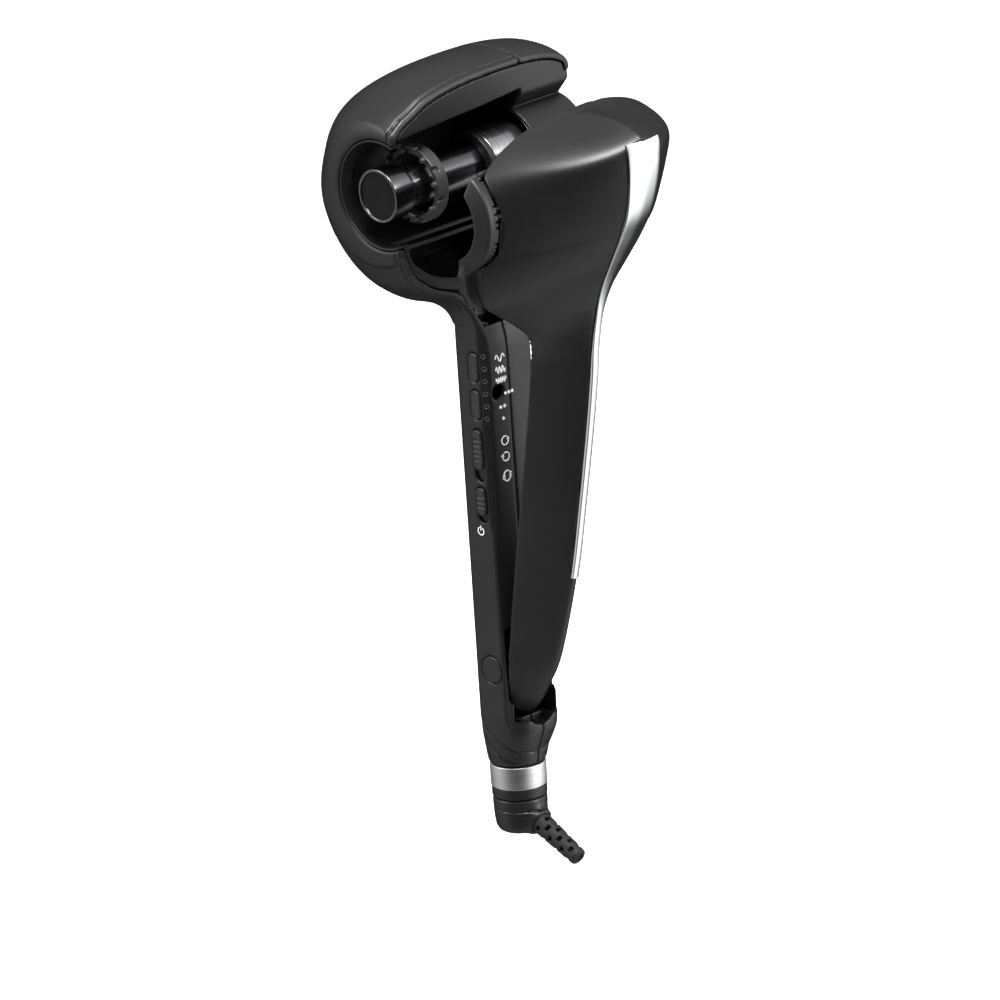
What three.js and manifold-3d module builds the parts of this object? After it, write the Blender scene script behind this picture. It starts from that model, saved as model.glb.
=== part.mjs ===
// Automatic hair curler: a base arm with barrel and rotor, and a sprung lid arm hinged near the collar.
// Millimetres. Z runs along the handle to the head, X points to the lid side, -Y is the curl outlet.
import * as THREE from 'three';
import { mergeVertices } from 'three/addons/utils/BufferGeometryUtils.js';
import Module from 'manifold-3d';

const wasm = await Module();
wasm.setup();

// ---- driving dimensions -------------------------------------------------
const OPEN_DEG = 11;               // lid opening at rest
const PIVOT = { x: 2.4, z: 45.6 }; // lid hinge, axis along Y
const BARREL = { x: -4.4, z: 236.2 };
const HEAD_X = -11;                // centre of the head's round back
const HEAD_Z = 236.2;
const RIM_X = 4;                   // parting plane of the base head
const LID_X = 4.3;                 // lid liner's face when closed
const ARM_X = 9;                   // base handle's inner face
const LEVER_X = 9.6;               // lid lever's inner face when closed
const HALF_W = 12.5;               // handle half width
const WALL = 2;
const GAP = 0.3;
const CHAMBER_R = 20.8;
const COLLAR_R = 10.5;
const HUB = { r: 17.2, inner: 15.6, front: 18.8, cut: -11.2 }; // barrel hub behind the chamber
const COVER = { x: -22.6, r: 11 };  // rear cover, whose face is the rest face
const ORIGIN = { x: 18.882, y: -1.9, z: -28.69 };

// ---- solids -------------------------------------------------------------
function solid(geometry) {
  const g = geometry.clone();
  g.deleteAttribute('normal');
  g.deleteAttribute('uv');
  const m = mergeVertices(g, 1e-4);
  return new wasm.Manifold(new wasm.Mesh({
    numProp: 3,
    vertProperties: new Float32Array(m.attributes.position.array),
    triVerts: new Uint32Array(m.index.array),
  }));
}

function geometryOf(body) {
  const mesh = body.getMesh();
  const g = new THREE.BufferGeometry();
  g.setAttribute('position', new THREE.BufferAttribute(new Float32Array(mesh.vertProperties), 3));
  g.setIndex(new THREE.BufferAttribute(new Uint32Array(mesh.triVerts), 1));
  const flat = g.toNonIndexed();
  flat.computeVertexNormals();
  return flat;
}

// Skin through rings of equal length, closed at both ends by a fan.
function loft(rings) {
  const n = rings[0].length;
  const pos = [];
  const idx = [];
  for (const ring of rings) for (const p of ring) pos.push(...p);
  for (let i = 0; i + 1 < rings.length; i++) {
    for (let k = 0; k < n; k++) {
      const a = i * n + k;
      const b = i * n + (k + 1) % n;
      idx.push(a, b, b + n, a, b + n, a + n);
    }
  }
  for (const [i, flip] of [[0, true], [rings.length - 1, false]]) {
    const c = pos.length / 3;
    const mid = [0, 1, 2].map((q) => rings[i].reduce((s, p) => s + p[q], 0) / n);
    pos.push(...mid);
    for (let k = 0; k < n; k++) {
      const a = i * n + k;
      const b = i * n + (k + 1) % n;
      if (flip) idx.push(c, b, a);
      else idx.push(c, a, b);
    }
  }
  const g = new THREE.BufferGeometry();
  g.setAttribute('position', new THREE.Float32BufferAttribute(pos, 3));
  g.setIndex(idx);
  const body = solid(g);
  if (body.volume() > 0) return body;
  g.setIndex(idx.reverse());
  return solid(g);
}

// A point at height h along an axis with the two cross coordinates u and v.
function place(axis, u, v, h) {
  if (axis === 'x') return [h, u, v];
  if (axis === 'y') return [u, h, v];
  return [u, v, h];
}

// Round body: profile of [radius, height] along an axis through the centre [u, v].
function turned(axis, centre, profile, seg = 20) {
  return loft(profile.map(([r, h]) => {
    const ring = [];
    for (let k = 0; k < seg; k++) {
      const t = (2 * Math.PI * (k + 0.5)) / seg;
      ring.push(place(axis, centre[0] + r * Math.cos(t), centre[1] + r * Math.sin(t), h));
    }
    return ring;
  }));
}

function rod(axis, centre, r, lo, hi, seg = 20) {
  return turned(axis, centre, [[r, lo], [r, hi]], seg);
}

function tube(axis, centre, inner, outer, lo, hi, seg = 20) {
  return rod(axis, centre, outer, lo, hi, seg).subtract(rod(axis, centre, inner, lo - 1, hi + 1, seg));
}

function prism(axis, outline, lo, hi) {
  const shape = new THREE.Shape(outline.map(([u, v]) => new THREE.Vector2(u, v)));
  const g = new THREE.ExtrudeGeometry(shape, { depth: hi - lo, bevelEnabled: false, steps: 1 });
  const p = g.attributes.position;
  for (let i = 0; i < p.count; i++) p.setXYZ(i, ...place(axis, p.getX(i), p.getY(i), lo + p.getZ(i)));
  const merged = mergeVertices(g.deleteAttribute('normal').deleteAttribute('uv') ?? g, 1e-4);
  if (axis === 'y') merged.setIndex(Array.from(merged.index.array).reverse());
  return solid(merged);
}

function box(x0, x1, y0, y1, z0, z1) {
  const g = new THREE.BoxGeometry(x1 - x0, y1 - y0, z1 - z0);
  g.translate((x0 + x1) / 2, (y0 + y1) / 2, (z0 + z1) / 2);
  return solid(g);
}

// Oblong outline with round ends, long in v.
function oblong(cu, cv, width, length, seg = 4) {
  const out = [];
  const r = width / 2;
  for (const side of [1, -1]) {
    for (let k = 0; k <= seg; k++) {
      const t = (Math.PI * k) / seg + (side > 0 ? 0 : Math.PI);
      out.push([cu + r * Math.cos(t), cv + side * (length / 2 - r) + r * Math.sin(t)]);
    }
  }
  return out;
}

const ease = (a, b, t) => a + (b - a) * t;
const lerpTable = (table, x) => {
  if (x <= table[0][0]) return table[0][1];
  for (let i = 1; i < table.length; i++) {
    const [x1, y1] = table[i];
    const [x0, y0] = table[i - 1];
    if (x <= x1) return ease(y0, y1, (x - x0) / (x1 - x0));
  }
  return table[table.length - 1][1];
};

// ---- base housing -------------------------------------------------------
// Super-ellipse ring at height z: low and high X reach, half width, squareness.
function handleRing(z, xLow, xHigh, w, n, inset = 0, seg = 24) {
  const ring = [];
  for (let k = 0; k < seg; k++) {
    const t = (2 * Math.PI * (k + 0.5)) / seg;
    const c = Math.cos(t);
    const s = Math.sin(t);
    const reach = (c > 0 ? xHigh : -xLow) - inset;
    ring.push([
      Math.sign(c) * reach * Math.abs(c) ** (2 / n),
      Math.sign(s) * (w - inset) * Math.abs(s) ** (2 / n),
      z,
    ]);
  }
  return ring;
}

// Cup round the lid's foot, from the collar up to the U-shaped rim.
function cupLoft(inset, z0, z1) {
  const rows = [[7, 10.8, 10.8, 10.8, 2], [12, 10.5, 11.6, 11.3, 2.3], [17, 9.8, 13.6, 12, 2.7],
    [22, 9.3, 15.2, 12.4, 3.1], [41, 9, 15.4, HALF_W, 3.6]];
  const at = (z, q) => lerpTable(rows.map((r) => [r[0], r[q]]), z);
  const zs = [z0, ...rows.map((r) => r[0]).filter((z) => z > z0 && z < z1), z1];
  return loft(zs.map((z) => handleRing(z, -at(z, 1), at(z, 2), at(z, 3), at(z, 4), inset)));
}

function armLoft(inset, z0, z1) {
  return loft([z0, z1].map((z) => handleRing(z, -9, ARM_X, HALF_W, 4.2, inset)));
}

// The rim dips in the middle so the lid's rounded foot shows above it.
function rimCutter() {
  const low = [];
  for (let k = -5; k <= 5; k++) {
    const y = (k / 5) * 12.9;
    low.push([y, 23.6 + 14.4 * Math.abs(k / 5) ** 2.2]);
  }
  return prism('x', [...low, [14, 38], [14, 60], [-14, 60], [-14, 38]], ARM_X, 30);
}

// Head sections: Y, reach to -X, half height above and below the centre line.
const HEAD = [
  [-44, 27.8, 28.2, 28.9], [-40, 31.2, 30.4, 37.2], [-35, 33.8, 31.9, 41.5], [-28, 36.3, 34.5, 45.5],
  [-20, 38.3, 36.2, 47.8], [-10, 39.8, 37.7, 49.4], [0, 40.8, 38.5, 50], [10, 41.2, 38.9, 50],
  [20, 41, 39, 48.6], [28, 40, 38.9, 46], [36, 37.8, 37.9, 41.8], [42, 35, 36, 36], [45, 32.4, 34, 32],
];

function headRing(y, cx, a, up, down, inset, seg = 30) {
  const ring = [];
  for (let k = 0; k < seg; k++) {
    const t = (2 * Math.PI * (k + 0.5)) / seg;
    const s = Math.sin(t);
    const c = Math.cos(t);
    const q = s > 0 ? 2 / 2.25 : 1;  // the upper half is a little squarer
    ring.push([cx + (a - inset) * Math.sign(c) * Math.abs(c) ** q, y,
      HEAD_Z + ((s > 0 ? up : down) - inset) * Math.sign(s) * Math.abs(s) ** q]);
  }
  return ring;
}

function headLoft(inset, y0, y1) {
  const at = (y, q) => lerpTable(HEAD.map((r) => [r[0], r[q]]), y);
  const ys = [y0, ...HEAD.map((r) => r[0]).filter((y) => y > y0 && y < y1), y1];
  return loft(ys.map((y) => headRing(y, HEAD_X, at(y, 1), at(y, 2), at(y, 3), inset)));
}

// Rounded front lip from the crease to the curl outlet.
function frontLip(inset) {
  const a = HEAD[0];
  return loft([
    headRing(-46.2 + inset, BARREL.x - 1.2, 23.5, 22.6, 22.6, inset),
    headRing(-45.6 + inset, HEAD_X + 4, 25, 24.6, 24.8, inset),
    headRing(-43.9, HEAD_X, a[1], a[2], a[3], inset),
  ]);
}

// Everything of the base on the -X side of the parting face, with the slope at the neck.
function baseSide(gap = 0) {
  return prism('y', [[-80, 0], [30, 0], [30, 60], [ARM_X - gap, 60], [ARM_X - gap, 172], [RIM_X - gap, 188],
    [RIM_X - gap, 300], [-80, 300]], -60, 60);
}

const cupOuter = cupLoft(0, 7, 41).subtract(rimCutter());
const housingOuter = cupOuter
  .add(armLoft(0, 30, 189.8))
  .add(headLoft(0, -44, 45))
  .add(frontLip(0))
  .intersect(baseSide());
const housingInner = cupLoft(WALL, 11, 37)
  .add(armLoft(WALL, 30, 200))
  .add(headLoft(WALL + 0.2, -43, 43))
  .add(box(-5, 12, -10.6, 10.6, 26, 62));

// Openings in the front face: [centre X, centre Z, width, length].
const TIMER = [3.4, 163.2, 5, 11.6];
const HEAT = [3.4, 148.8, 5, 11.6];
const TURN_SLOT = [3.2, 129.2, 5, 20.4];
const POWER_SLOT = [3.2, 110.1, 5, 13.8];
const LED_Z = [0, 1, 2, 3, 4, 5].map((k) => 167.7 - 4.8 * k);
const SCREW_Z = [66, 88];
const SEAM_Y = 0;
const HEAD_SEAM_Y = 20;
const SPLIT_Z = 196;               // where the seam steps from the handle's to the head's

// Rear hair channel in section, inside and outside of its wall.
const CHANNEL_IN = [[6, 262.4], [-7.6, 246.1], [-7.6, 226.3], [6, 210]];
const CHANNEL_OUT = [[6, 266], [-9.9, 246.9], [-9.9, 225.5], [6, 206.4]];

function ledPost(r, from, to) {
  return (z) => loft([from, to].map((d) => {
    const ring = [];
    for (let k = 0; k < 6; k++) {
      const t = (2 * Math.PI * k) / 6;
      const u = r * Math.cos(t);
      ring.push([7.63 - (d + u) * Math.SQRT1_2, -10.6 + (d - u) * Math.SQRT1_2, z + r * Math.sin(t)]);
    }
    return ring;
  }));
}

let housing = housingOuter.subtract(housingInner);
housing = housing.subtract(rod('y', [BARREL.x, BARREL.z], CHAMBER_R, -60, -38, 36));
housing = housing.subtract(rod('y', [COVER.x, HEAD_Z], COVER.r + GAP, 42, 50, 28));
housing = housing.subtract(prism('y', CHANNEL_OUT, 40, 50));
housing = housing.subtract(rod('y', [BARREL.x, BARREL.z], HUB.r + 0.2, 40, 50, 36)
  .intersect(box(HUB.cut, 30, 30, 60, 200, 280)));
housing = housing.add(tube('y', [PIVOT.x, PIVOT.z], 1.9, 3.8, -10.9, -9.7, 20));
housing = housing.subtract(rod('z', [0, 0], 6.5, 0, 12, 24));
housing = housing.subtract(rod('x', [-5.9, 153], 3.1, 5, 12, 20));
housing = housing.subtract(rod('y', [PIVOT.x, PIVOT.z], 5.4, -20, -11.6, 28));
housing = housing.subtract(rod('y', [PIVOT.x, PIVOT.z], 1.9, -14, 11, 16));
for (const [x, z, w, l] of [TIMER, HEAT, TURN_SLOT, POWER_SLOT]) {
  housing = housing.subtract(prism('y', oblong(x, z, w, l), -20, -8));
}
for (const z of LED_Z) housing = housing.subtract(ledPost(0.85, -2, 5)(z));

const frontSide = box(-80, 60, -60, SEAM_Y, 0, 197).add(box(-80, 60, -60, HEAD_SEAM_Y, SPLIT_Z, 300));
const rearSide = box(-80, 60, SEAM_Y + 0.1, 60, 0, SPLIT_Z - 0.1).add(box(-80, 60, HEAD_SEAM_Y + 0.1, 60, 190, 300));
let frontShell = housing.intersect(frontSide);
let rearShell = housing.intersect(rearSide);
for (const z of SCREW_Z) {
  frontShell = frontShell.add(tube('y', [-3, z], 1.1, 3, -11, -0.1, 20));
  rearShell = rearShell.add(rod('y', [-3, z], 3, 0.2, 11, 20));
  rearShell = rearShell.subtract(rod('y', [-3, z], 1.5, -1, 20, 20));
  rearShell = rearShell.subtract(rod('y', [-3, z], 2.5, 9.5, 20, 20));
}

// ---- chamber and barrel -------------------------------------------------
const axisXZ = [BARREL.x, BARREL.z];
const IDLER = { x: -30.7, z: 226.6, teeth: 34 };
const PINION = { x: -24.714, z: 210.049, teeth: 10 };
const ROTOR_TEETH = 36;
const GEAR_MODULE = 0.8;
const GEAR_Y = [22.6, 25.8];

const flange = headLoft(WALL + 0.6, -42.6, 42.4).intersect(box(0.8, 3.2, -60, 60, 180, 300));
const trough = rod('y', axisXZ, 22.6, -42.7, 22, 36).intersect(box(-60, 3.2, -60, 60, 180, 300));
const channelWall = prism('y', CHANNEL_OUT.map(([x, z]) => [x + 0.3, HEAD_Z + (z - HEAD_Z) * 0.985]), 22.4, 44.6)
  .intersect(box(-60, 3.2, -60, 60, 180, 300));
// Hub: a drum round the rotor gear, a web that carries the barrel's seat, and an open skirt to the rear wall.
const hub = tube('y', axisXZ, HUB.inner, HUB.r, HUB.front, 28, 36)
  .add(rod('y', axisXZ, HUB.inner + 0.4, 26.4, 28, 36))
  .add(rod('y', axisXZ, 11.9, 21.1, 27, 28))
  .add(tube('y', axisXZ, HUB.inner, HUB.r, 27.9, 44.6, 36).intersect(box(HUB.cut, 30, 20, 60, 200, 280)));
const chamberLiner = flange
  .add(trough)
  .add(channelWall)
  .subtract(rod('y', axisXZ, CHAMBER_R, -60, 20, 36))
  .subtract(prism('y', CHANNEL_IN, 22, 50))
  .subtract(rod('y', axisXZ, HUB.inner + 0.2, 18, 50, 36))
  .add(hub)
  .subtract(rod('y', [IDLER.x, IDLER.z], 14.9, 22.3, 26.1, 32));
const hubCover = turned('y', axisXZ, [[HUB.inner - 0.2, 43], [HUB.inner - 0.2, 45], [HUB.inner - 0.8, 45.6]], 32)
  .intersect(box(HUB.cut + 0.2, 30, 20, 60, 200, 280));
const outletRing = tube('y', axisXZ, 19.9, 20.6, -46, -40.5, 36).intersect(box(-60, 3.6, -60, 60, 180, 300));
const rearCover = turned('y', [COVER.x, HEAD_Z], [[COVER.r, 42.4], [COVER.r, 45.4], [COVER.r - 0.6, 45.8]], 28);

const barrelTube = tube('y', axisXZ, 7, 8.3, -37.7, 20.8, 28);
const endCap = turned('y', axisXZ, [[9.5, -47], [10.06, -46.4], [10.06, -38]], 28)
  .subtract(rod('y', axisXZ, 8.7, -48, -46.1, 28))
  .add(rod('y', axisXZ, 6.7, -39, -35.2, 20));
const sleeve = turned('y', axisXZ, [[12.4, -0.6], [12.4, 0.8], [12, 1.2], [12, 19.7]], 28)
  .subtract(rod('y', axisXZ, 8.6, -2, 21, 24));
const heaterCore = tube('y', axisXZ, 1.6, 6.6, -34.9, 14, 20);
const thermostat = rod('y', axisXZ, 5, 14.3, 16.5, 20);
const barrelMount = tube('y', axisXZ, 2, 6.7, 16.8, 20.8);

// Trapezoid-toothed spur gear in the X-Z plane; phase is the angle of one tooth's centre.
function gear(centre, teeth, phase, lo, hi, bore, seg) {
  const pitch = (teeth * GEAR_MODULE) / 2;
  const step = (2 * Math.PI) / teeth;
  const outline = [];
  for (let k = 0; k < teeth; k++) {
    for (const [r, q] of [[pitch - 0.96, -0.36], [pitch + 0.68, -0.12], [pitch + 0.68, 0.12], [pitch - 0.96, 0.36]]) {
      const t = phase + step * (k + q);
      outline.push([centre[0] + r * Math.cos(t), centre[1] + r * Math.sin(t)]);
    }
  }
  return prism('y', outline, lo, hi).subtract(rod('y', centre, bore, lo - 1, hi + 1, seg));
}

const toIdler = Math.atan2(IDLER.z - BARREL.z, IDLER.x - BARREL.x);
const toPinion = Math.atan2(PINION.z - IDLER.z, PINION.x - IDLER.x);
const idlerPhase = toIdler + Math.PI + Math.PI / IDLER.teeth;
const idlerTurn = ((toPinion - idlerPhase) * IDLER.teeth) / (2 * Math.PI);
const pinionPhase = toPinion + Math.PI - ((0.5 - idlerTurn) * 2 * Math.PI) / PINION.teeth;
const rotorGear = gear(axisXZ, ROTOR_TEETH, toIdler, ...GEAR_Y, 12.3, 28);
const idlerGear = gear([IDLER.x, IDLER.z], IDLER.teeth, idlerPhase, ...GEAR_Y, 1.57, 14);
const motorPinion = gear([PINION.x, PINION.z], PINION.teeth, pinionPhase, ...GEAR_Y, 1.02, 12);

function aroundBarrel(deg, r) {
  const t = THREE.MathUtils.degToRad(deg);
  return [BARREL.x + r * Math.cos(t), BARREL.z + r * Math.sin(t)];
}
let rotorRing = tube('y', axisXZ, 11.3, 14.5, -29.5, -24.5, 32);
for (let k = 0; k < 8; k++) {
  rotorRing = rotorRing.add(rod('y', aroundBarrel(k * 45 + 10, 12.9), 1.1, -31.3, -29, 8));
}
const hookAt = (deg, w, r0, r1) => [[deg - w, r0], [deg + w, r0], [deg + w * 0.5, r1], [deg - w * 0.7, r1]]
  .map(([t, r]) => aroundBarrel(t, r));
rotorRing = rotorRing
  .add(prism('y', hookAt(135, 11, 13.6, 18.4), -32, -25))
  .add(prism('y', hookAt(222, 13, 12.8, 15.1), -29.5, 22.4));
const gearBracket = rod('y', [IDLER.x, IDLER.z], 4.9, 26.4, 28.2, 24)
  .add(rod('y', [PINION.x, PINION.z], 8.8, 26.4, 28.2, 32))
  .add(prism('y', [[-34.4, 225.3], [-28.6, 208.7], [-21.2, 211.4], [-27, 228]], 26.4, 28.2))
  .subtract(rod('y', [PINION.x, PINION.z], 2, 18, 30, 16))
  .add(rod('y', [IDLER.x, IDLER.z], 1.5, 22.4, 27, 16));
const motorBody = turned('y', [PINION.x, PINION.z], [[7.6, 28.4], [8.2, 29], [8.2, 36], [7.4, 36.6]], 28)
  .add(rod('y', [PINION.x, PINION.z], 0.95, 22.2, 29, 16))
  .add(rod('y', [PINION.x, PINION.z], 2.6, 36, 38, 16));

// ---- controls -----------------------------------------------------------
function button([x, z, w, l]) {
  return prism('y', oblong(x, z, w - 0.4, l - 0.4), -13.1, -10.3)
    .add(box(x - 1.5, x + 1.5, -10.4, -9.5, z - 4, z + 4))
    .add(box(x - 1.7, x + 1.5, -9.6, -8.9, z - 6.9, z + 6.9));
}
function slider([x, z, w, l], length) {
  const top = z + l / 2 - 0.25;
  const mid = top - length / 2;
  let knob = prism('y', oblong(x, mid, w - 0.5, length), -13.6, -10.3)
    .add(box(x - 1.5, x + 1.5, -10.4, -9.5, mid - length / 2 + 2, top - 2))
    .add(box(x - 1.7, x + 1.5, -9.6, -8.9, mid - length / 2 - 0.5, top + 0.5));
  for (const k of [-1, 0, 1]) knob = knob.subtract(box(x - 3, x + 3, -14, -13.1, mid + k * 2.6 - 0.5, mid + k * 2.6 + 0.5));
  return knob;
}
let lightGuide = box(4.5, 5.6, -8.3, -7.2, LED_Z[5] - 1.2, LED_Z[0] + 1.2);
for (const z of LED_Z) lightGuide = lightGuide.add(ledPost(0.7, -0.12, 3.3)(z));
let mainBoard = box(-6, 4, -5.5, -4, 98, 178);
for (const [x, z] of [TIMER, HEAT, TURN_SLOT, POWER_SLOT]) {
  mainBoard = mainBoard.add(box(x - 2.4, x + 0.6, -8.1, -5.4, z - 3, z + 3));
}
mainBoard = mainBoard
  .add(rod('y', [-2, 106], 3, -4.1, 5, 16))
  .add(box(-5, 1, -4.1, -1.5, 116, 124))
  .add(box(-5, 2.5, -4.1, -2.2, 130, 138));
const microswitch = box(-2, 3.8, -3.9, 1.6, 148, 158).add(box(3.7, 4.6, -3.9, -1, 151, 153));

// ---- lid ----------------------------------------------------------------
// Ribs of the lid when closed: ridge X and Z, front edge Y and Z, rear edge Y and Z.
const RIBS = [
  [11.5, 27.8, -4, 28.6, 4, 28.6], [15.5, 33, -8, 32.2, 8, 32.2], [19.4, 42, -10.5, 41, 10.5, 41],
  [24.6, 57, -12, 57, 12, 57], [28.9, 91, -12.5, 91, 12.5, 91], [30, 122, -12.5, 122, 12.5, 122],
  [30.5, 152, -12.5, 152, 12.5, 152], [30.3, 172, -12.9, 170, 12.9, 170], [29.6, 184, -14.4, 180, 13.8, 180],
  [29.8, 196, -18.6, 187.6, 16.4, 188], [31, 205, -26, 194, 19.6, 193.6], [33.7, 214, -34.5, 200, 24, 199.4],
  [37.8, 224, -42, 206, 31, 207.4], [42.1, 234.5, -45.6, 216, 38, 216], [45.4, 244, -46.4, 231, 42.6, 225.6],
  [46.8, 254, -46.4, 246, 44.8, 241], [46.4, 264.5, -43, 253.5, 45.2, 254], [44.1, 272.6, -36, 260, 41, 261.8],
  [37, 275.2, -24.5, 266.2, 32, 266.8], [27, 275.4, -13.5, 268.8, 21, 269.8],
];
// Inner edge plane of the shell against height, and the section's two powers against the ridge's height.
const EDGE_X = [[174, 9.6], [190, 12.5], [222, 12.5], [250, 7], [260, 4.8]];
const POWER_A = [[185, 1.42], [203, 1.18], [240, 1.14], [262, 1.5], [275, 1.8]];
const POWER_B = [[185, 0.95], [203, 1], [240, 1], [262, 0.8], [275, 0.6]];
function shrink([rx, rz, fy, fz, by, bz], inset) {
  const up = (z) => z - inset * THREE.MathUtils.clamp((z - 238) / 26, z < 190 ? 0 : -1, 1);
  const foot = rz < 40 ? inset : 0;
  return [rx - inset, up(rz) + foot, fy + inset, up(fz) + foot, by - inset, up(bz) + foot];
}

// Rib as an arch from the front edge over the ridge to the rear edge, then back inside the edge plane.
function ribRing(rib, inset) {
  const [rx, rz, fy, fz, by, bz] = shrink(rib, inset);
  const a = lerpTable(POWER_A, rib[1]);
  const b = lerpTable(POWER_B, rib[1]);
  const ring = [];
  for (let k = -8; k <= 8; k++) {
    const lean = Math.sin(Math.PI / 2 * Math.abs(k / 8));
    const [ey, ez, x0] = k < 0
      ? [fy, fz, lerpTable(EDGE_X, rib[3]) - (inset > 0 ? 1 : 0)]
      : [by, bz, lerpTable(EDGE_X, rib[5]) - (inset > 0 ? 1 : 0)];
    ring.push([x0 + (rx - x0) * Math.max(0, 1 - lean ** a) ** b, ey * lean, rz + (ez - rz) * lean]);
  }
  return ring;
}
function lidHull(inset) {
  const rings = RIBS.map((rib) => ribRing(rib, inset));
  const n = rings[0].length;
  const last = rings[rings.length - 1];
  rings.push(last.map(([x, y, z], k) => [
    ease(4.8 - (inset > 0 ? 1 : 0), x, 0.5), ease(4, y, 0.4), ease(270.6 - inset, z, 0.45)]));
  const pos = rings.flat(2);
  const idx = [];
  for (let i = 0; i + 1 < rings.length; i++) {
    for (let k = 0; k < n; k++) {
      const a = i * n + k;
      const b = i * n + (k + 1) % n;
      idx.push(a, b + n, b, a, a + n, b + n);
    }
  }
  for (const [i, flip] of [[0, false], [rings.length - 1, true]]) {
    for (let k = 1; k + 1 < n; k++) {
      const tri = [i * n, i * n + k, i * n + k + 1];
      idx.push(...(flip ? tri.reverse() : tri));
    }
  }
  const g = new THREE.BufferGeometry();
  g.setAttribute('position', new THREE.Float32BufferAttribute(pos, 3));
  g.setIndex(idx);
  const body = solid(g);
  if (body.volume() > 0) return body;
  g.setIndex(idx.reverse());
  return solid(g);
}

function headOutline(inset) {
  const rows = RIBS.slice(9).map((rib) => shrink(rib, inset));
  return [...rows.map((r) => [r[2], r[3]]), ...rows.reverse().map((r) => [r[4], r[5]])];
}

// Strip that follows the ridge: half width at each height, and reach above and below the skin.
const STRIP_HALF = [[92, 1.6], [196, 1.7], [214, 3], [228, 4.6], [244, 6], [256, 7], [272, 8]];
function ridgeStrip(above, below, extra) {
  const rows = RIBS.filter((r) => r[1] > 90 && r[1] < 273);
  return loft(rows.map((r, i) => {
    const p = rows[Math.max(i - 1, 0)];
    const q = rows[Math.min(i + 1, rows.length - 1)];
    const len = Math.hypot(q[0] - p[0], q[1] - p[1]);
    const nx = (q[1] - p[1]) / len;
    const nz = -(q[0] - p[0]) / len;
    const half = lerpTable(STRIP_HALF, r[1]) + extra;
    const end = i === 0 ? -extra : (i === rows.length - 1 ? extra : 0);
    const at = (y, d) => {
      const drop = (r[0] - 12) * (1 - (1 - (Math.abs(y) / r[4]) ** 1.5)) * 0.35;
      return [r[0] - drop + nx * d, y, r[1] + nz * d + end];
    };
    const ys = [-1, -0.5, 0, 0.5, 1].map((f) => f * half);
    return [...ys.map((y) => at(y, above)), ...ys.reverse().map((y) => at(y, -below))];
  }));
}

const LID_SCREWS = [74, 158];
const PLUNGER = { y: -5.9, z: 153 };
let lidShell = lidHull(0)
  .subtract(lidHull(WALL))
  .subtract(rod('y', axisXZ, 21.6, -60, -40, 36))
  .subtract(rod('y', axisXZ, HUB.r + 0.5, 18, 60, 36))
  .subtract(ridgeStrip(3, 0.9, 0.2));
for (const z of LID_SCREWS) {
  lidShell = lidShell.add(rod('x', [0, z], 3, 11.5, 29, 16).intersect(lidHull(0.8)));
  lidShell = lidShell.subtract(rod('x', [0, z], 1.3, 9, 20, 16));
}
const coverOutline = [[-5.6, 40], [-7.9, 57], [-8.9, 91], [-8.9, 171], [8.9, 171], [8.9, 91], [7.9, 57], [5.6, 40]];
let lidCover = prism('x', coverOutline, LEVER_X, 11.1);
const lug = [[PIVOT.x - 2, PIVOT.z + 4.4], [LEVER_X + 0.6, 56], [LEVER_X + 0.6, 40.5], [PIVOT.x, PIVOT.z - 4.8]];
for (const y of [-7.3, 4.7]) {
  lidCover = lidCover.add(rod('y', [PIVOT.x, PIVOT.z], 4.8, y, y + 2.6, 20)
    .add(prism('y', lug, y, y + 2.6)).subtract(box(10.9, 20, -12, 12, 30, 60))
    .subtract(rod('y', [PIVOT.x, PIVOT.z], 1.87, -12, 12, 16)));
}
for (const z of LID_SCREWS) lidCover = lidCover.subtract(rod('x', [0, z], 2.6, 9, 12, 20));
lidCover = lidCover.subtract(rod('x', [PLUNGER.y, PLUNGER.z], 2.7, 9, 12, 20));
const lidPlunger = turned('x', [PLUNGER.y, PLUNGER.z], [[1.6, 5.9], [2.5, 6.6], [2.5, 11.3], [2.95, 11.4], [2.95, 12.6]], 16);
const lidScrew = (z) => rod('x', [0, z], 2.4, LEVER_X + 0.2, 11.2, 18).add(rod('x', [0, z], 1.1, 11, 19, 12))
  .subtract(box(9, 10.4, -1.5, 1.5, z - 0.4, z + 0.4));
// The liner keeps inside the shell's wall above the shell's edge plane.
const linerRoom = lidHull(WALL + 0.35).add(prism('y', [[0, 180], [12, 180], [12, 217], [6.8, 250], [4.6, 260],
  [4.6, 300], [0, 300]], -60, 60));
const lidLiner = prism('x', headOutline(1.1), LID_X, 12.1)
  .intersect(linerRoom)
  .subtract(prism('x', headOutline(3.4), 6.3, 13))
  .add(turned('y', axisXZ, [[15.2, -49.6], [21.2, -46.6], [21.2, -42]], 36)
    .add(rod('y', axisXZ, 22.6, -43.2, 22, 36).intersect(linerRoom))
    .add(rod('y', axisXZ, HUB.r + 1.9, 21, 43.6, 36).intersect(linerRoom))
    .intersect(box(LID_X, 30, -60, 60, 180, 300)))
  .add(prism('x', [[-38, 201], [-38, 222], [-49, 222], [-49.4, 217.5], [-47.3, 210.5], [-43.6, 205]], LID_X, 7.4))
  .subtract(rod('y', axisXZ, 15.2, -60, -43, 36))
  .subtract(rod('y', axisXZ, CHAMBER_R, -43.6, 20, 36))
  .subtract(rod('y', axisXZ, HUB.r + 0.5, 18.4, 60, 36));

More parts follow.
